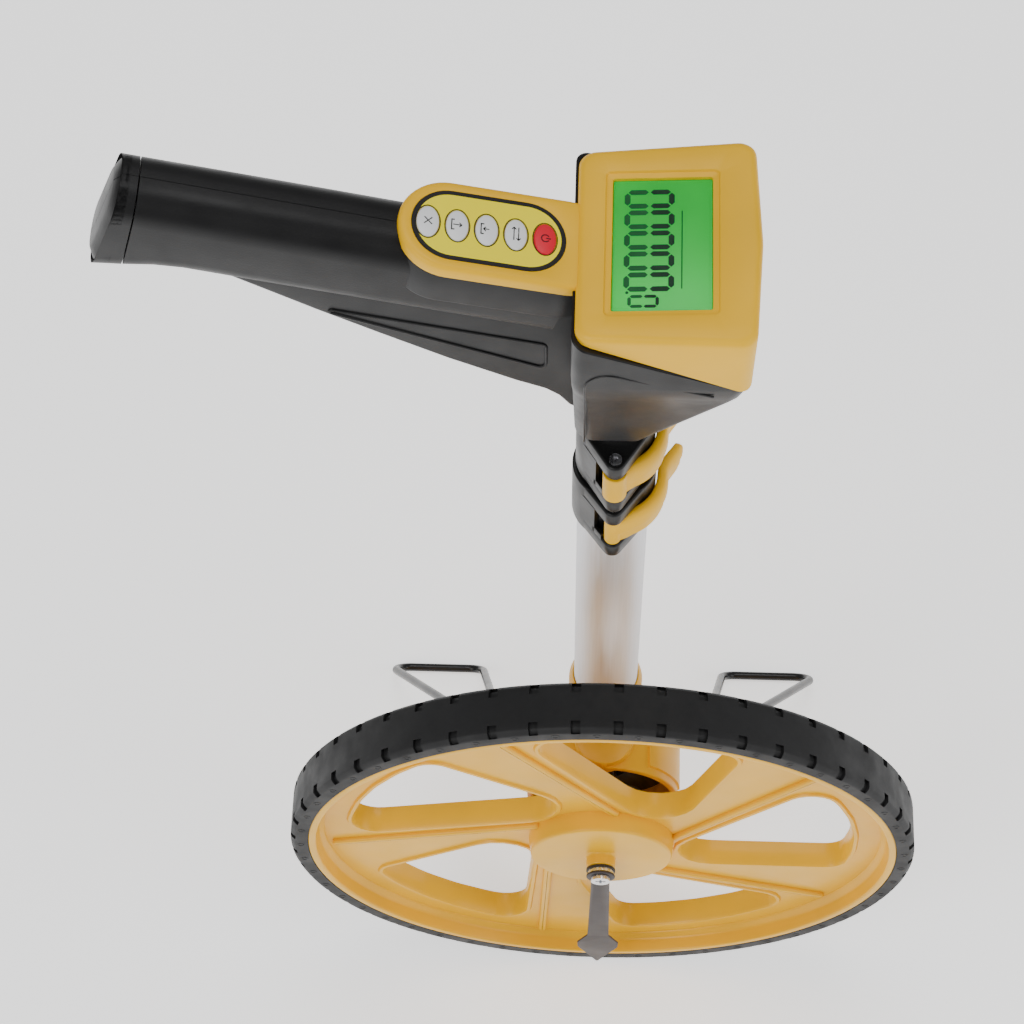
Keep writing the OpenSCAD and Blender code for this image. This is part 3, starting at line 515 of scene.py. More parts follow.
def make_bracket(material):
    mesh = bmesh.new()
    inner = CUP_R - CUP_WALL
    front, back, wall0, wall1 = CUP_FRONT, 58 * MM, 40 * MM, 46 * MM
    cup = [(0, wall0), (inner, wall0), (inner, front), (CUP_R, front), (CUP_R, back), (inner, back), (inner, wall1),
           (0, wall1)]
    lathe(mesh, soft_profile(cup, 1.2 * MM), along_y(0), 128)
    # thicker sector on the column's side of the cup
    sector = bmesh.new()
    profile = [(CUP_R - 0.5 * MM, front + 4 * MM), (CUP_R + 1.1 * MM, front + 4.8 * MM), (CUP_R + 1.1 * MM, back - 0.8 * MM),
               (CUP_R - 0.5 * MM, back)]
    ring = loop_at(sector, [(r, 0, y) for r, y in profile])
    face = bmesh.ops.contextual_create(sector, geom=ring)["faces"]
    bmesh.ops.spin(sector, geom=face, cent=(0, 0, 0), axis=(0, 0, 1), angle=math.radians(52), steps=26)
    bmesh.ops.transform(sector, matrix=along_y(0) @ Matrix.Rotation(math.radians(-54), 4, "Z"), verts=sector.verts)
    join(mesh, sector)
    # column with its coned mouth, open for the tube
    column = [(0, 137 * MM), (COLUMN_R, 137 * MM), (COLUMN_R, SOCKET_TOP - 5 * MM), (16.7 * MM, SOCKET_TOP),
              (16.05 * MM, SOCKET_TOP), (16.05 * MM, 170 * MM), (0, 170 * MM)]
    lathe(mesh, soft_profile(column, 0.9 * MM), Matrix.Translation((0, POLE.y, 0)), 96)
    # round pad for the top screw, and the rib that runs from it to the mouth of the cup
    pad_top = HUB.z + 43 * MM
    pad = [(0, pad_top - 12 * MM), (15 * MM, pad_top - 12 * MM), (15 * MM, pad_top), (4.2 * MM, pad_top),
           (3.6 * MM, pad_top - 0.5 * MM), (0, pad_top - 0.5 * MM)]
    lathe(mesh, soft_profile(pad, 0.8 * MM), Matrix.Translation((0, PAD_Y, 0)), 64)
    rib = rounded_box(front, front + 30 * MM, pad_top - 9 * MM, pad_top - 0.2 * MM, 1.2 * MM, 3)
    slab(mesh, rib, -1.5 * MM, 1.5 * MM, 0.5 * MM, Matrix(((0, 0, 1, 0), (1, 0, 0, 0), (0, 1, 0, 0), (0, 0, 0, 1))))
    # bosses: axle, carrier screws, stand pivot
    lathe(mesh, soft_profile([(4.1 * MM, wall1), (17 * MM, wall1), (17 * MM, REAR_Y), (4.1 * MM, REAR_Y)], 0.8 * MM),
          along_y(0), 64)
    # stiffening ribs across the open back of the cup
    for a in (18, 54, 126, 162, 198, 234, 306, 342):
        place = along_y(wall1) @ Matrix.Rotation(math.radians(a), 4, "Z")
        slab(mesh, rounded_box(16 * MM, 36.5 * MM, -0.9 * MM, 0.9 * MM, 0.3 * MM, 2), -1 * MM, 9 * MM, 0.5 * MM, place, 2)
    for a in (30, 150, 270):
        at = along_y(0, 28 * MM * math.cos(math.radians(a)), HUB.z + 28 * MM * math.sin(math.radians(a)))
        lathe(mesh, soft_profile([(0, wall1), (4 * MM, wall1), (3.6 * MM, wall1 + 5 * MM), (0, wall1 + 5 * MM)], 0.5 * MM), at, 24)
    cross_pin(mesh, 7 * MM, -44 * MM, 44 * MM, 0.9 * MM)
    # gussets from the column down to the pivot boss
    for side in (-1, 1):
        gusset = rounded_outline(mm([(14, 146), (36, 146), (17, 176), (14, 176)]), 1.2 * MM, 2)
        slab(mesh, [(side * x, z) for x, z in (gusset if side > 0 else gusset[::-1])], -1.6 * MM, 1.6 * MM, 0.5 * MM,
             Matrix.Translation((0, POLE.y, 0)) @ Matrix.Rotation(math.radians(90), 4, "X"))
    return finish_piece("bracket_moulding", mesh, "frame", ["bracket_housing"], material, 35)


def make_rear_cover(material):
    low, high = (Vector(c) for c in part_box("rear_cover"))
    r, y0, y1 = (high.x - low.x) / 2, low.y, high.y
    mesh = bmesh.new()
    profile = [(0, y0), (r, y0), (r, y1 - 0.9 * MM), (r - 1.1 * MM, y1), (8 * MM, y1), (7.2 * MM, y1 - 1.1 * MM),
               (4 * MM, y1 - 1.1 * MM), (3.2 * MM, y1 - 0.2 * MM), (0, y1)]
    lathe(mesh, soft_profile(profile, 0.5 * MM), along_y(0), 96)
    for k in range(6):
        place = along_y(y1 - 1.3 * MM) @ Matrix.Rotation(math.radians(60 * k), 4, "Z")
        slab(mesh, rounded_box(2.5 * MM, 7.8 * MM, -0.5 * MM, 0.5 * MM, 0.4 * MM, 2), 0, 1.1 * MM, 0.2 * MM, place, 2)
    return finish_piece("rear_cover_moulding", mesh, "frame", ["rear_cover"], material)


def swept_wire(points, radius, sides=6, closed=False):
    """Mesh of a round wire that follows the points, made from a bevelled curve."""
    curve = bpy.data.curves.new("wire", "CURVE")
    curve.dimensions = "3D"
    curve.bevel_depth = radius
    curve.bevel_resolution = sides
    curve.use_fill_caps = not closed
    spline = curve.splines.new("POLY")
    spline.points.add(len(points) - 1)
    for spot, p in zip(spline.points, points):
        spot.co = (*p, 1)
    spline.use_cyclic_u = closed
    holder = bpy.data.objects.new("wire", curve)
    bpy.context.scene.collection.objects.link(holder)
    data = bpy.data.meshes.new_from_object(holder.evaluated_get(bpy.context.evaluated_depsgraph_get()))
    bpy.data.objects.remove(holder)
    bpy.data.curves.remove(curve)
    mesh = bmesh.new()
    mesh.from_mesh(data)
    bpy.data.meshes.remove(data)
    bmesh.ops.remove_doubles(mesh, verts=mesh.verts, dist=1e-6)
    return mesh


def make_stand_leg(side, node, material):
    """Loop of dipped wire: two wires down from the collar and a bar on the ground."""
    low, high = (Vector(c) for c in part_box(node))
    wire = 2.4 * MM
    foot_y = high.y - wire
    drop = Vector((0, foot_y - STAND_PIVOT.y, wire - STAND_PIVOT.z))
    length = drop.length
    down = drop.normalized()
    outline = rounded_outline([(53 * MM, 0), (71 * MM, length), (126 * MM, length), (59.6 * MM, 0)],
                              [3.25 * MM, 9 * MM, 9 * MM, 3.25 * MM], 10)
    points = [Vector((side * x, STAND_PIVOT.y, STAND_PIVOT.z)) + down * d for x, d in outline]
    return finish_piece(node + "_wire", swept_wire(points, wire, 8, True), "stand", [node], material)


# ---- pole and clamps ------------------------------------------------------------------------------

def make_tube(name, node, body, material):
    """Drawn tube with broken edges at both ends."""
    low, high = (Vector(c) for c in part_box(node))
    r, wall = (high.x - low.x) / 2, 1.2 * MM
    mesh = bmesh.new()
    lathe(mesh, [(r - wall, low.z + 0.3 * MM), (r - wall + 0.3 * MM, low.z), (r - 0.3 * MM, low.z), (r, low.z + 0.3 * MM),
                 (r, high.z - 0.3 * MM), (r - 0.3 * MM, high.z), (r - wall + 0.3 * MM, high.z), (r - wall, high.z - 0.3 * MM)],
          Matrix.Translation((0, POLE.y, 0)), 96)
    return finish_piece(name, mesh, body, [node], material)


NOSE = 22.5 * MM
NOSE_R = 4.6 * MM
LUG = 9.5 * MM
CLAMP_H = 38 * MM


def lug_outline(collar, nose=NOSE_R, grow=0.0):
    """Plan of a lug: the collar drawn out to a nose over the lever's pivot."""
    collar, nose = collar + grow, nose + grow
    lean = math.acos((collar - nose) / NOSE)
    back = [(collar * math.cos(a), collar * math.sin(a))
            for a in (-math.pi / 2 + lean + (math.tau - 2 * lean) * k / 48 for k in range(49))]
    front = [(nose * math.cos(a), -NOSE + nose * math.sin(a))
             for a in (-math.pi / 2 - lean + 2 * lean * k / 12 for k in range(13))]
    return back + front


def make_clamp(node, body, collar, tube, inner, material):
    low = Vector(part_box(node)[0])
    base = Matrix.Translation((0, POLE.y, low.z))
    mesh = bmesh.new()
    profile = [(tube, 0), (collar, 0), (collar, CLAMP_H), (inner, CLAMP_H), (inner, CLAMP_H - 6 * MM), (tube, CLAMP_H - 6 * MM)]
    lathe(mesh, soft_profile(profile + [(tube, 0)], 0.8 * MM)[1:-1] + [(tube, 0.4 * MM)], base, 96)
    outline = lug_outline(collar - 0.2 * MM)
    for z0, z1 in ((0.05 * MM, LUG), (CLAMP_H - LUG, CLAMP_H - 0.05 * MM)):
        ring_slab(mesh, outline, inner + 0.15 * MM if z0 > LUG else tube + 0.1 * MM, z0, z1, 1.1 * MM, base)
    # cheek that closes the far side between the two lugs, with its pocket
    lean = math.acos((collar - NOSE_R) / NOSE)
    a = -math.pi / 2 - lean
    start = Vector((collar * math.cos(a), collar * math.sin(a)))
    end = Vector((NOSE_R * math.cos(a), -NOSE + NOSE_R * math.sin(a)))
    inward = -Vector((math.cos(a), math.sin(a)))
    mid_end = start.lerp(end, 0.58)
    wall = [start, mid_end, mid_end + inward * 2.0 * MM, start + inward * 2.0 * MM]
    wall = [tuple(p) for p in (wall if area(wall) > 0 else wall[::-1])]
    slab(mesh, wall, LUG - 1 * MM, CLAMP_H - LUG + 1 * MM, 0.0, base)
    for height in (LUG + 6.0 * MM,):
        rail = [start.lerp(end, 0.5), start.lerp(end, 0.86), start.lerp(end, 0.86) + inward * 1.6 * MM,
                start.lerp(end, 0.5) + inward * 1.6 * MM]
        rail = [tuple(p) for p in (rail if area(rail) > 0 else rail[::-1])]
        slab(mesh, rail, LUG - 1 * MM, height - 2.5 * MM, 0.3 * MM, base)
    return finish_piece(node + "_moulding", mesh, body, [node], material)


def area(points):
    return sum(a[0] * b[1] - b[0] * a[1] for a, b in zip(points, list(points[1:]) + [points[0]])) / 2


def ring_slab(mesh, outline, bore, z0, z1, edge, place, steps=3, bore_steps=64):
    """Plate with a round bore and rounded outer edges."""
    rings = []
    for k in range(steps + 1):
        a = math.pi / 2 * k / steps
        rings.append(raised(inset(outline, edge * (1 - math.sin(a))), z0 + edge * (1 - math.cos(a))))
    for k in range(steps + 1):
        a = math.pi / 2 * k / steps
        rings.append(raised(inset(outline, edge * (1 - math.cos(a))), z1 - edge * (1 - math.sin(a))))
    loops = [loop_at(mesh, ring, place) for ring in rings]
    for a, b in zip(loops, loops[1:]):
        bmesh.ops.bridge_loops(mesh, edges=a + b)
    circle = [(bore * math.cos(math.tau * k / bore_steps), bore * math.sin(math.tau * k / bore_steps)) for k in range(bore_steps)]
    low, high = loop_at(mesh, raised(circle, z0), place), loop_at(mesh, raised(circle, z1), place)
    bmesh.ops.bridge_loops(mesh, edges=low + high)
    fill_flat(mesh, loops[0] + low)
    fill_flat(mesh, loops[-1] + high)


def make_lever(node, collar, material):
    """Cam lever: eye on the pin, a ridged band round the collar and a flared thumb tab."""
    low, high = (Vector(c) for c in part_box(node))
    h = high.z - low.z
    base = Matrix.Translation((0, POLE.y, low.z))
    mesh = bmesh.new()
    eye = NOSE - collar - 0.3 * MM
    lathe(mesh, soft_profile([(1.65 * MM, 0), (eye, 0), (eye, h), (1.65 * MM, h)], 0.5 * MM),
          base @ Matrix.Translation((0, -NOSE, 0)), 40)
    mid = collar + 2.6 * MM
    path = [Vector((0.6 * MM, -NOSE - 1.6 * MM)), Vector((5.5 * MM, -mid * 1.005))]
    path += [Vector((mid * math.cos(a), mid * math.sin(a))) for a in (math.radians(-66 + 6 * k) for k in range(11))]
    tab = [(0.3, 3.2), (1.6, 6.6), (3.6, 9.6), (5.6, 12.4), (6.9, 14.9), (7.3, 16.4), (7.45, 17.2)]
    path += [Vector((mid + x * MM, y * MM)) for x, y in tab]
    # section: [outward, height], with the ridge that stiffens the band
    section = [(-2.0, 0.5), (-1.6, 0), (1.2, 0), (1.9, 0.6), (2.1, 1.6), (2.1, 6.4), (2.3, 7.2), (2.9, 8.0), (3.1, 8.8),
               (3.0, 13.6), (2.7, 15.4), (2.0, 17.2), (1.2, 18.1), (0.2, 18.4), (-1.5, 18.4), (-2.0, 17.9)]
    rings = []
    n = len(path)
    for i, p in enumerate(path):
        t = (path[min(i + 1, n - 1)] - path[max(i - 1, 0)]).normalized()
        out = Vector((t.y, -t.x))
        late = max(0, i - (n - 1 - 6)) / 6
        width = 1 + 0.15 * late if late < 0.6 else 1.09 - (late - 0.6) * 1.5
        shrink = 1.0 if late < 0.6 else 1.0 - 1.3 * (late - 0.6) ** 1.0
        lift = 2.2 * MM * late ** 1.5
        thin = (0.72 if i == 0 else 1.0) * (1 - 0.35 * late)
        rings.append([(p.x + out.x * u * MM * thin, p.y + out.y * u * MM * thin,
                       h / 2 + lift * 0.6 + (z * h / 18.4 - h / 2) * max(0.35, shrink)) for u, z in section])
    loft(mesh, rings, base)
    return finish_piece(node + "_moulding", mesh, node, [node], material, 50)


def make_pointer(material):
    """Flat sheet pointer that hangs on the axle, with a broad arrow head."""
    low, high = (Vector(c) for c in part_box("pointer"))
    eye = [(7.3 * math.cos(math.radians(a)), 7.3 * math.sin(math.radians(a))) for a in range(-50, 231, 10)]
    blade = [(-5.7, -89), (-11.1, -101), (-10.8, -107), (0, -131), (10.8, -107), (11.1, -101), (5.7, -89)]
    outline = mm(eye + rounded_outline([(-4.6, -6)] + blade + [(4.6, -6)], [1, 2, 0.8, 1, 0.7, 1, 0.8, 2, 1], 3)[4:-4])
    mesh = bmesh.new()
    slab(mesh, outline, 0, high.y - low.y, 0.28 * MM, upright(high.y), 2)
    return finish_piece("pointer_blade", mesh, "pointer", ["pointer"], material, 25)


# ---- head -----------------------------------------------------------------------------------------

def sloped(origin, normal):
    """Place with its own Z along the normal and its own Y across the object."""
    z = Vector(normal).normalized()
    y = Vector((0, 1, 0))
    x = y.cross(z)
    m = Matrix((x, y, z)).transposed().to_4x4()
    m.translation = origin
    return m


PRESS = Vector(joint_of("power_press")["axis"])
KEYPAD = sloped(middle("store_key") - PRESS * 1.1 * MM, -PRESS)
PULL = Vector(joint_of("battery_cap_pull")["axis"])
BORE = middle("battery_tray") + PULL * 69 * MM
GRIP_UP = Vector((-PULL.z, 0, PULL.x)) * -1
FACE_TILT = math.radians(4.1)
FACE_UP = Vector((-math.sin(FACE_TILT), 0, math.cos(FACE_TILT)))
FACE = sloped(middle("display_lens") + FACE_UP * 1.65 * MM, FACE_UP)
WINDOW_X, WINDOW_Y = 38.4 * MM, 60.4 * MM
SEAM_SLOPE = math.tan(math.radians(22.75))
SEAM_AT = Vector((-13 * MM, 601 * MM))
KEY_PITCH = (middle("power_key") - middle("unit_key")).length
KEYS = ["power_key", "unit_key", "store_key", "recall_key", "clear_key"]


def seam_z(x):
    """Height of the joint between the shells and the cover."""
    return SEAM_AT.y - (x - SEAM_AT.x) * SEAM_SLOPE


def on_grip(s, across, down):
    """Point at s along the grip from its butt; down is measured from its top line."""
    return BORE - PULL * s + Vector((0, across, 0)) + GRIP_UP * (22 * MM - down)


def grip_ring(s, half, depth, r, lean=0.0, steps=8):
    """Cross-section of the grip, leaning back at the bottom by lean."""
    outline = rounded_box(-half, half, 0, depth, r, steps)
    return [on_grip(s - lean * down, across, down) for across, down in outline]


def grip_size(s):
    """Half-width and depth of the grip at s: it swells at the palm and flares at the butt."""
    flare = max(0.0, 1 - s / (30 * MM))
    return (14.75 + 0.25 * math.sin(math.pi * min(1, s / (176 * MM)))) * MM, (41.6 + 7.6 * flare ** 1.6) * MM


def keep_half(mesh, side, gap=0.12 * MM):
    """Cuts a closed body at the middle plane, keeps one side and closes it."""
    geom = mesh.verts[:] + mesh.edges[:] + mesh.faces[:]
    cut = bmesh.ops.bisect_plane(mesh, geom=geom, plane_co=(0, POLE.y + side * gap, 0), plane_no=(0, -side, 0),
                                 clear_outer=True)
    edges = [e for e in cut["geom_cut"] if isinstance(e, bmesh.types.BMEdge)]
    if edges:
        fill_flat(mesh, edges)


def grip_body(mesh, s0, s1, bored):
    """Rings for a loft of the grip from s0 to s1, with the battery bore in its butt end."""
    rings = []
    if bored:
        bore = [(12.25 * MM * math.cos(a), 12.25 * MM * math.sin(a)) for a in (math.tau * k / 36 for k in range(36))]
        for s in (14 * MM, s0):
            rings.append([BORE - PULL * s + Vector((0, x, 0)) + GRIP_UP * z for x, z in bore])
    else:
        for edge, back in ((5.0, -0.95), (3.2, 0.15), (1.6, 1.2), (0.5, 2.6)):
            half, depth = grip_size(s0)
            ring = rounded_box(-half + edge * MM, half - edge * MM, edge * MM, depth - edge * MM, (11.8 - edge * 0.6) * MM, 8)
            rings.append([on_grip(s0 + back * MM - 0.105 * down, across, down) for across, down in ring])
    count = 15
    for k in range(count + 1):
        s = s0 + (s1 - s0) * k / count
        if not bored and k == 0:
            s = s0 + 4.2 * MM
        half, depth = grip_size(s)
        lean = 0 if bored else 0.105 * (s1 - s) / (s1 - s0)
        rings.append(grip_ring(s, half, depth, 11.8 * MM, lean))
    return rings


def make_handle_half(side, node, material):
    """One half of the black head: grip, fin, funnel, keypad shelf and raised panel lines."""
    mesh = bmesh.new()
    part = bmesh.new()
    rings = grip_body(part, 8 * MM, 176 * MM, True)
    outer = rings[2:]
    loft(part, outer, cap=(False, True))
    part.edges.ensure_lookup_table()
    mouth = [e for e in part.edges if e.is_boundary]
    inner = [loop_at(part, ring) for ring in rings[:2]]
    bmesh.ops.bridge_loops(part, edges=inner[0] + inner[1])
    bmesh.ops.contextual_create(part, geom=inner[0])
    fill_flat(part, mouth + inner[1])
    bmesh.ops.recalc_face_normals(part, faces=part.faces)
    keep_half(part, side)
    join(mesh, part)
    # fin under the grip, with the step where it meets the neck
    part = bmesh.new()
    lower = [(-158, 597), (-140, 584), (-120, 569.5), (-96, 553), (-69, 535), (-42, 519), (-30, 513), (-24.5, 508),
             (-20, 500.5), (-13, 496.5), (-11, 500), (-6, 540), (-20, 592), (-140, 616)]
    fin = mm(rounded_outline(lower, [3, 9, 12, 12, 12, 9, 5, 5, 4, 1.5, 1.5, 4, 4, 3], 3))
    slab(part, fin, -10 * MM, 10 * MM, 2.2 * MM, Matrix.Translation((0, POLE.y, 0)) @ Matrix.Rotation(math.radians(90), 4, "X"), 4)
    bmesh.ops.recalc_face_normals(part, faces=part.faces)
    keep_half(part, side)
    join(mesh, part)
    # funnel: rounded slabs that widen from the neck to the cover
    part = bmesh.new()
    levels = [(490, -17, 14, 20, 7.5), (491.2, -17.6, 14.6, 20.6, 8), (518, -18, 30, 27.3, 7.5), (545, -18.5, 46, 34, 7),
              (561, -18.8, 48, 41.5, 6.5), (575, -19, 49.5, 46, 6), (588, -19, 49.5, 46, 6)]
    rings = []
    for z, x0, x1, half, r in levels:
        ring = rounded_box(x0 * MM, x1 * MM, -half * MM, half * MM, r * MM, 8)
        rings.append([(x, POLE.y + y, min(z * MM, seam_z(x) - (590 - z) * 0.09 * MM)) for x, y in ring])
    ring = rounded_box(-19 * MM, 49.5 * MM, -46 * MM, 46 * MM, 6 * MM, 8)
    rings.append([(x, POLE.y + y, seam_z(x) - 0.6 * MM) for x, y in ring])
    ring = rounded_box(-18.4 * MM, 48.9 * MM, -45.4 * MM, 45.4 * MM, 5.5 * MM, 8)
    rings.append([(x, POLE.y + y, seam_z(x) - 0.05 * MM) for x, y in ring])
    loft(part, rings)
    bmesh.ops.recalc_face_normals(part, faces=part.faces)
    keep_half(part, side)
    join(mesh, part)
    # shelf under the keypad
    part = bmesh.new()
    slab(part, [(x * MM, y * MM) for x, y in stadium(-33.4, 50, 18.8, 20)], -25 * MM, -6.65 * MM, 1.2 * MM, KEYPAD)
    bmesh.ops.recalc_face_normals(part, faces=part.faces)
    keep_half(part, side)
    join(mesh, part)
    # raised lines: a long drop on the fin and a rounded panel on the funnel
    y = POLE.y + side * 10 * MM
    drop = rounded_outline([(-127, 574.5), (-29.4, 548.5), (-29.4, 530.5)], [1.2, 2.5, 2.5], 5)
    join(mesh, swept_wire([(x * MM, y, z * MM) for x, z in drop], 0.75 * MM, 2, True))
    line = rounded_outline([(-13.5, 494), (-13.5, 592), (36, 572), (36, 571.9)], [0.02, 9, 0.02, 0.02], 8)[3:-6]
    panel = []
    for x, z in line:
        half = 20 + (z - 490) * 14 / 55 if z < 545 else 34 + (min(z, 575) - 545) * 12 / 30
        panel.append((x * MM, POLE.y + side * (half - 0.05) * MM, (z - 3.0) * MM))
    join(mesh, swept_wire(panel, 0.5 * MM, 2))
    return finish_piece(node + "_moulding", mesh, "head", [node], material, 38)


def make_battery_cap(material):
    mesh = bmesh.new()
    for side in (-1, 1):
        part = bmesh.new()
        rings = grip_body(part, 0.2 * MM, 7.4 * MM, False)
        loft(part, rings)
        bmesh.ops.recalc_face_normals(part, faces=part.faces)
        keep_half(part, side, 0.1 * MM)
        join(mesh, part)
    return finish_piece("battery_cap_moulding", mesh, "battery_cap", ["battery_cap"], material, 50)


def face_ring(grow, lift, r=6.0):
    """Ring round the display face, drawn in by grow, at lift above the face."""
    points = [(-33 + grow, -43.5 + grow), (36 - grow, -47 + grow), (38.5 - grow, 0), (36 - grow, 47 - grow),
              (-33 + grow, 43.5 - grow)]
    outline = rounded_outline(points, [r, r, 30, r, r], 8)
    return [FACE @ Vector((x * MM, y * MM, lift * MM)) for x, y in outline]


def base_ring(grow):
    """Ring where the cover's walls would reach the level of the funnel's top edge."""
    points = [(-19 + grow, -47 + grow), (50.5 - grow, -47 + grow), (50.6 - grow, 0), (50.5 - grow, 47 - grow),
              (-19 + grow, 47 - grow)]
    return [Vector((x * MM, POLE.y + y * MM, 575 * MM)) for x, y in rounded_outline(points, [6, 6, 30, 6, 6], 8)]


def on_seam(low, high, lift):
    """Where the wall's line from low to high crosses the joint, lift above it."""
    f0 = low.z - seam_z(low.x) - lift
    f1 = high.z - seam_z(high.x) - lift
    t = max(0.02, -f0 / (f1 - f0)) if f1 != f0 else 0
    return low.lerp(high, min(t, 0.95))


def make_top_cover(material):
    """Yellow cover: walls up from the joint, a soft crease, the face, and the stepped window frame."""
    mesh = bmesh.new()
    crease = face_ring(0.2, -3.2, 6.5)
    base = base_ring(0)
    rings = [[on_seam(a, b, 0.06 * MM) for a, b in zip(base_ring(1.0), face_ring(1.2, -3.2, 6.0))],
             [on_seam(a, b, 0.1 * MM) for a, b in zip(base_ring(0.5), face_ring(0.7, -3.2, 6.3))],
             [on_seam(a, b, 0.7 * MM) for a, b in zip(base, crease)]]
    for t in (0.45, 0.75):
        rings.append([r.lerp(c, t) for r, c in zip(rings[2], crease)])
    rings.append(crease)
    for k in range(1, 6):
        a = math.pi / 2 * k / 5
        rings.append(face_ring(0.2 + 3.0 * (1 - math.cos(a)), -3.2 + 3.2 * math.sin(a), 6.5))
    loops = [loop_at(mesh, ring) for ring in rings]
    for a, b in zip(loops, loops[1:]):
        bmesh.ops.bridge_loops(mesh, edges=a + b)
    bmesh.ops.contextual_create(mesh, geom=loops[0])
    # window frame: a rounded step, its floor, and the well that holds the display
    steps = [(3.1, 0, 2.2), (2.8, -0.12, 2.1), (2.55, -0.55, 2.0), (2.35, -1.05, 1.9), (2.0, -1.2, 1.7), (0.35, -1.2, 1.2),
             (0.08, -1.35, 1.0), (0, -1.7, 1.0), (0, -4.2, 1.0)]
    frame_rings = [[FACE @ Vector((x, y, lift * MM)) for x, y in
                    rounded_box(-WINDOW_X / 2 - grow * MM, WINDOW_X / 2 + grow * MM, -WINDOW_Y / 2 - grow * MM,
                                WINDOW_Y / 2 + grow * MM, r * MM, 5)] for grow, lift, r in steps]
    wells = [loop_at(mesh, ring) for ring in frame_rings]
    for a, b in zip(wells, wells[1:]):
        bmesh.ops.bridge_loops(mesh, edges=a + b)
    bmesh.ops.contextual_create(mesh, geom=wells[-1])
    fill_flat(mesh, loops[-1] + wells[0])
    # tongue that carries the keypad, with a rounded rim and a shallow tray
    rings = []
    for grow, lift in ((1.0, -6.5), (0.3, -6.3), (0, -5.6), (0, -1.6), (0.35, -0.75), (1.0, -0.2), (1.9, 0)):
        rings.append([KEYPAD @ Vector((x * MM, y * MM, lift * MM)) for x, y in stadium(-34 + grow, 52 - grow, 20 - grow, 24)])
    tongue = [loop_at(mesh, ring) for ring in rings]
    for a, b in zip(tongue, tongue[1:]):
        bmesh.ops.bridge_loops(mesh, edges=a + b)
    bmesh.ops.contextual_create(mesh, geom=tongue[0])
    trays = [loop_at(mesh, [KEYPAD @ Vector((x * MM, y * MM, lift * MM)) for x, y in stadium(-29.35 + g, 31.35 - g, 15.8 - g, 24)])
             for g, lift in ((0, 0), (0.2, -0.1), (0.3, -0.4), (0.3, -1.05))]
    for a, b in zip(trays, trays[1:]):
        bmesh.ops.bridge_loops(mesh, edges=a + b)
    bmesh.ops.contextual_create(mesh, geom=trays[-1])
    fill_flat(mesh, tongue[-1] + trays[0])
    return finish_piece("top_cover_moulding", mesh, "head", ["top_cover"], material, 30)


# ---- display --------------------------------------------------------------------------------------

def make_display(material):
    mesh = bmesh.new()
    slab(mesh, rounded_box(-WINDOW_X / 2 + 0.15 * MM, WINDOW_X / 2 - 0.15 * MM, -WINDOW_Y / 2 + 0.15 * MM,
                           WINDOW_Y / 2 - 0.15 * MM, 0.8 * MM, 3), -4.1 * MM, -2.6 * MM, 0.2 * MM, FACE)
    return finish_piece("display_face", mesh, "head", ["display_module"], material)


def segment(mesh, a, b, half, place):
    """One hexagonal bar of a digit between two points."""
    a, b = Vector(a), Vector(b)
    along = (b - a).normalized()
    side = Vector((-along.y, along.x)) * half
    a, b = a + along * half * 0.35, b - along * half * 0.35
    outline = [a, a + along * half - side, b - along * half - side, b, b - along * half + side, a + along * half + side]
    slab(mesh, [tuple(p) for p in outline], 0, 0.06 * MM, 0, place)


def make_digits(name, lower_half, material):
    """Zeros drawn in bars: tops towards +X, read from +Y to -Y."""
    mesh = bmesh.new()
    place = FACE @ Matrix.Translation((0, 0, -2.6 * MM))
    top_edge, left = WINDOW_Y / 2, -WINDOW_X / 2
    for k in range(6):
        last = k == 5
        y = top_edge - (8.9 + 9.45 * k if not last else 55.4) * MM
        x0 = left + (5.6 if not last else 6.8) * MM
        height, width, half = (17.0, 6.4, 1.1) if not last else (10.6, 4.4, 0.65)
        x1, xm = x0 + height * MM, x0 + height * MM / 2
        ya, yb = y + width * MM / 2, y - width * MM / 2
        half *= MM
        if lower_half:
            bars = [((x0, ya), (xm, ya)), ((x0, yb), (xm, yb)), ((x0, yb), (x0, ya))]
        else:
            bars = [((xm, ya), (x1, ya)), ((xm, yb), (x1, yb)), ((x1, yb), (x1, ya))]
        for a, b in bars:
            segment(mesh, a, b, half, place)
    if lower_half:
        dot = (left + 5.9 * MM, top_edge - 51.4 * MM)
        slab(mesh, rounded_box(dot[0] - 0.55 * MM, dot[0] + 0.55 * MM, dot[1] - 0.55 * MM, dot[1] + 0.55 * MM, 0.3 * MM, 2),
             0, 0.06 * MM, 0, place)
    else:
        slab(mesh, rounded_box(left + 26.4 * MM, left + 26.8 * MM, top_edge - 50 * MM, top_edge - 14.5 * MM, 0.1 * MM, 1),
             0, 0.06 * MM, 0, place)
    return finish_piece(name, mesh, "head", (), material)


# ---- keypad ---------------------------------------------------------------------------------------

def ellipse(a, b, n=48):
    return [(a * math.cos(math.tau * k / n), b * math.sin(math.tau * k / n)) for k in range(n)]


def key_x(k):
    return (2 - k) * KEY_PITCH


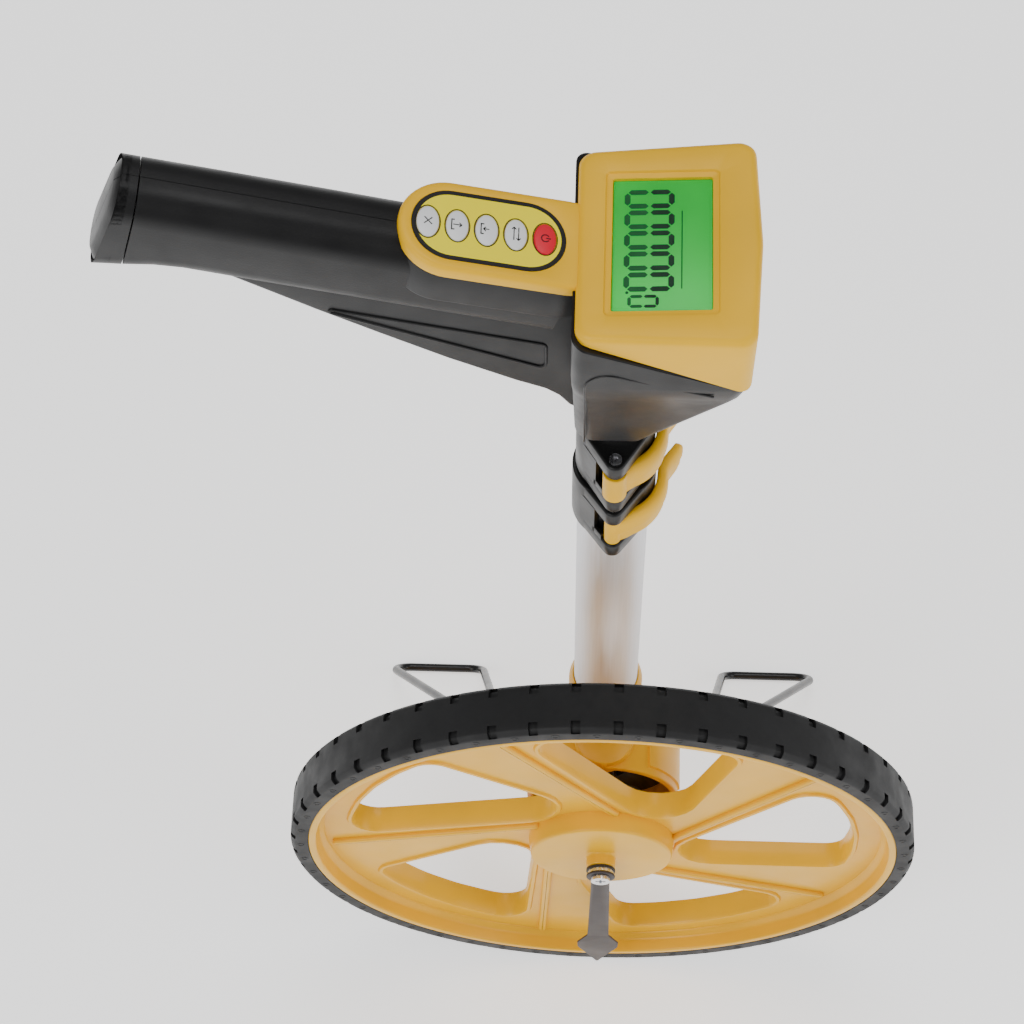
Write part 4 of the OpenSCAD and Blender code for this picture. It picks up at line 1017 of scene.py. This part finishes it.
def make_keypad_film(material, print_material):
    """Film with five oval holes; its outer band is printed black."""
    mesh = bmesh.new()
    z0, z1 = -1.0 * MM, -0.02 * MM
    outer = [(x * MM, y * MM) for x, y in stadium(-29, 31, 15.45, 24)]
    band = [(x * MM, y * MM) for x, y in stadium(-27.2, 29.2, 13.65, 24)]
    holes = [[(x + key_x(k), y) for x, y in ellipse(4.55 * MM, 7.05 * MM)] for k in range(5)]
    out_low, out_high = loop_at(mesh, raised(outer, z0), KEYPAD), loop_at(mesh, raised(outer, z1), KEYPAD)
    inner = loop_at(mesh, raised(band, z1), KEYPAD)
    rim = bmesh.ops.bridge_loops(mesh, edges=out_low + out_high)["faces"]
    rim += bmesh.ops.bridge_loops(mesh, edges=out_high + inner)["faces"]
    low = [loop_at(mesh, raised(h, z0), KEYPAD) for h in holes]
    high = [loop_at(mesh, raised(h, z1), KEYPAD) for h in holes]
    for a, b in zip(low, high):
        bmesh.ops.bridge_loops(mesh, edges=a + b)
    fill_flat(mesh, inner + [e for loop in high for e in loop])
    fill_flat(mesh, out_low + [e for loop in low for e in loop])
    for face in rim:
        face.material_index = 1
    piece = finish_piece("keypad_film", mesh, "head", ["keypad_panel"], material)
    piece.data.materials.append(print_material)
    return piece


def make_key_rings(material):
    """Black line printed round each key."""
    mesh = bmesh.new()
    for k in range(5):
        place = KEYPAD @ Matrix.Translation((key_x(k), 0, -0.02 * MM))
        inner, outer = ellipse(4.6 * MM, 7.1 * MM), ellipse(5.0 * MM, 7.5 * MM)
        loft(mesh, [raised(outer, 0), raised(outer, 0.08 * MM), raised(inner, 0.08 * MM), raised(inner, 0)], place, closed=True)
    return finish_piece("keypad_lines", mesh, "head", (), material)


def make_key(k, material):
    """Domed oval key with its flange."""
    mesh = bmesh.new()
    place = KEYPAD @ Matrix.Translation((key_x(k), 0, 0))
    a, b = 4.3 * MM, 6.8 * MM
    flange = 0.9 * MM
    rings = [raised(ellipse(a + g, b + g), z * MM) for g, z in ((flange, -2.55), (flange, -1.85), (0, -1.8), (0, 0.05))]
    for t in (math.radians(9.6 * j) for j in range(1, 10)):
        rings.append(raised(ellipse(a * math.cos(t), b * math.cos(t)), (0.05 + 0.75 * math.sin(t)) * MM))
    loft(mesh, rings, place)
    return finish_piece(KEYS[k] + "_cap", mesh, KEYS[k], [KEYS[k]], material, 40)


def bar(mesh, a, b, width, place):
    """Thin straight stroke."""
    a, b = Vector(a) * MM, Vector(b) * MM
    side = (b - a).normalized().orthogonal() * width * MM / 2
    outline = [tuple(p) for p in (a - side, b - side, b + side, a + side)]
    slab(mesh, outline if area(outline) > 0 else outline[::-1], -0.3 * MM, 0.05 * MM, 0, place)


def arc(mesh, r, width, a0, a1, place, centre=(0, 0), steps=20):
    """Thin curved stroke."""
    angles = [math.radians(a0 + (a1 - a0) * k / steps) for k in range(steps + 1)]
    outer = [((centre[0] + (r + width / 2) * math.cos(a)) * MM, (centre[1] + (r + width / 2) * math.sin(a)) * MM) for a in angles]
    inner = [((centre[0] + (r - width / 2) * math.cos(a)) * MM, (centre[1] + (r - width / 2) * math.sin(a)) * MM) for a in angles]
    slab(mesh, outer + inner[::-1], -0.3 * MM, 0.05 * MM, 0, place)


def make_key_mark(k, material):
    """Plain symbol on a key; its top is towards +X."""
    mesh = bmesh.new()
    place = KEYPAD @ Matrix.Translation((key_x(k), 0, 0.79 * MM))
    if k == 0:
        arc(mesh, 1.55, 0.42, 35, 325, place)
        bar(mesh, (0.3, 0), (2.1, 0), 0.42, place)
    elif k == 1:
        bar(mesh, (0.9, 2.9), (0.9, -2.9), 0.36, place)
        bar(mesh, (-0.9, 2.9), (-0.9, -2.9), 0.36, place)
        for x, y, way in ((0.9, -2.9, 1), (-0.9, 2.9, -1)):
            bar(mesh, (x, y), (x + 0.8, y + way * 0.95), 0.36, place)
            bar(mesh, (x, y), (x - 0.8, y + way * 0.95), 0.36, place)
    elif k in (2, 3):
        way = -1 if k == 2 else 1
        bar(mesh, (-0.4 - way * 1.3, 0), (-0.4 + way * 1.3 + 0.6, 0), 0.4, place)
        tip = -0.1 + way * 1.3 if k == 2 else 1.6
        bar(mesh, (tip, 0), (tip - way * 0.95, 0.95), 0.4, place)
        bar(mesh, (tip, 0), (tip - way * 0.95, -0.95), 0.4, place)
        bar(mesh, (-2.3, 2.2), (-2.3, -2.2), 0.4, place)
        bar(mesh, (-2.5, 2.2), (-1.2, 2.2), 0.4, place)
        bar(mesh, (-2.5, -2.2), (-1.2, -2.2), 0.4, place)
    else:
        bar(mesh, (-1.5, -1.5), (1.5, 1.5), 0.42, place)
        bar(mesh, (-1.5, 1.5), (1.5, -1.5), 0.42, place)
    return finish_piece(KEYS[k] + "_mark", mesh, KEYS[k], (), material)


# ---- assembly -------------------------------------------------------------------------------------

make_wheel(YELLOW)
make_tyre(TYRE)
make_bracket(YELLOW)
make_rear_cover(BLACK)
for leg_side, leg in ((1, "right_stand_leg"), (-1, "left_stand_leg")):
    make_stand_leg(leg_side, leg, BLACK_STEEL)
make_tube("fixed_tube", "lower_tube", "frame", ALUMINIUM)
make_tube("middle_tube", "mid_tube", "mid_stage", ALUMINIUM)
make_tube("head_tube", "upper_tube", "head", ALUMINIUM)
make_clamp("lower_clamp", "frame", 18.4 * MM, 16.02 * MM, 14.08 * MM, CLAMP_BLACK)
make_clamp("upper_clamp", "mid_stage", 17.0 * MM, 14.02 * MM, 12.28 * MM, CLAMP_BLACK)
make_lever("lower_lever", 18.4 * MM, LEVER_YELLOW)
make_lever("upper_lever", 17.0 * MM, LEVER_YELLOW)
make_pointer(POINTER_GREY)
make_handle_half(-1, "left_handle_shell", BLACK)
make_handle_half(1, "right_handle_shell", BLACK)
make_battery_cap(BLACK)
make_top_cover(COVER_YELLOW)
make_display(DISPLAY)
make_digits("display_digits_lower", True, FAINT_INK)
make_digits("display_digits_upper", False, INK)
make_keypad_film(LEMON, PRINT_BLACK)
make_key_rings(PRINT_BLACK)
for index in range(5):
    make_key(index, KEY_RED if index == 0 else KEY_WHITE)
    make_key_mark(index, PRINT_BLACK)

FINISHES = {
    ZINC: ["front_spacer", "axle_end_screw", "carrier_screws", "cover_screws", "housing_top_screw", "shell_screws"],
    STEEL: ["axle", "bearing_spacer", "wheel_bearings", "lower_lever_pin", "upper_lever_pin"],
    WASHER: ["front_washer"],
    BLACK_STEEL: ["stand_shaft"],
    CARRIER_BLACK: ["sensor_carrier", "stand_collars", "mid_guide_bush", "upper_guide_bush", "battery_tray"],
    FERRITE: ["magnet_ring"],
    BOARD: ["sensor_board", "main_board", "keypad_board"],
    PAD: ["keypad_pad"],
    CABLE: ["signal_cable"],
    WINDOW: ["display_lens"],
    CELL: ["battery_cells"],
    BRASS: ["battery_contacts"],
}
for finish, nodes in FINISHES.items():
    for node in nodes:
        cad = frame["nodes"][node]
        cad.data.materials.clear()
        cad.data.materials.append(finish)


# ---- stage, light and camera ----------------------------------------------------------------------

def make_floor():
    mesh = bmesh.new()
    bmesh.ops.create_grid(mesh, x_segments=2, y_segments=2, size=6)
    data = bpy.data.meshes.new("floor")
    mesh.to_mesh(data)
    mesh.free()
    floor = bpy.data.objects.new("floor", data)
    bpy.context.scene.collection.objects.link(floor)
    material, shader = new_material("pale_floor", (0.9, 0.9, 0.9), 0.9)
    tint(material, shader, grain(material, 3), (0.95, 0.95, 0.95), (0.97, 0.97, 0.97))
    shader.inputs["Emission Color"].default_value = (1, 1, 1, 1)
    shader.inputs["Emission Strength"].default_value = 0.95
    data.materials.append(material)


def area_light(name, place, aim, size, power):
    data = bpy.data.lights.new(name, "AREA")
    data.shape, data.size, data.size_y, data.energy = "RECTANGLE", size[0], size[1], power
    lamp = bpy.data.objects.new(name, data)
    lamp.location = place
    lamp.rotation_euler = (Vector(aim) - Vector(place)).to_track_quat("-Z", "Y").to_euler()
    bpy.context.scene.collection.objects.link(lamp)


make_floor()
world = bpy.data.worlds.new("studio")
world.use_nodes = True
world.node_tree.nodes["Background"].inputs["Color"].default_value = (1, 1, 1, 1)
world.node_tree.nodes["Background"].inputs["Strength"].default_value = 0.32
bpy.context.scene.world = world
area_light("key_light", (-1.3, -1.5, 2.2), (0, 0, 0.35), (1.4, 1.4), 30)
area_light("fill_light", (1.6, -0.8, 1.5), (0, 0, 0.3), (1.6, 1.2), 14)
area_light("top_light", (0.1, 0.6, 2.4), (0, 0.05, 0.4), (1.2, 0.8), 11)

camera = bpy.data.objects.new("camera", bpy.data.cameras.new("camera"))
camera.data.lens, camera.data.sensor_width = 95.48, 36
RIGHT, UP, LOOK = Vector((0.99932, 0.03446, -0.01282)), Vector((-0.0243, 0.88071, 0.47304)), Vector((-0.02759, 0.47241, -0.88095))
camera.matrix_world = Matrix.Translation((-0.01146, -0.51635, 1.46941)) @ Matrix((RIGHT, UP, -LOOK)).transposed().to_4x4()
bpy.context.scene.collection.objects.link(camera)
bpy.context.scene.camera = camera
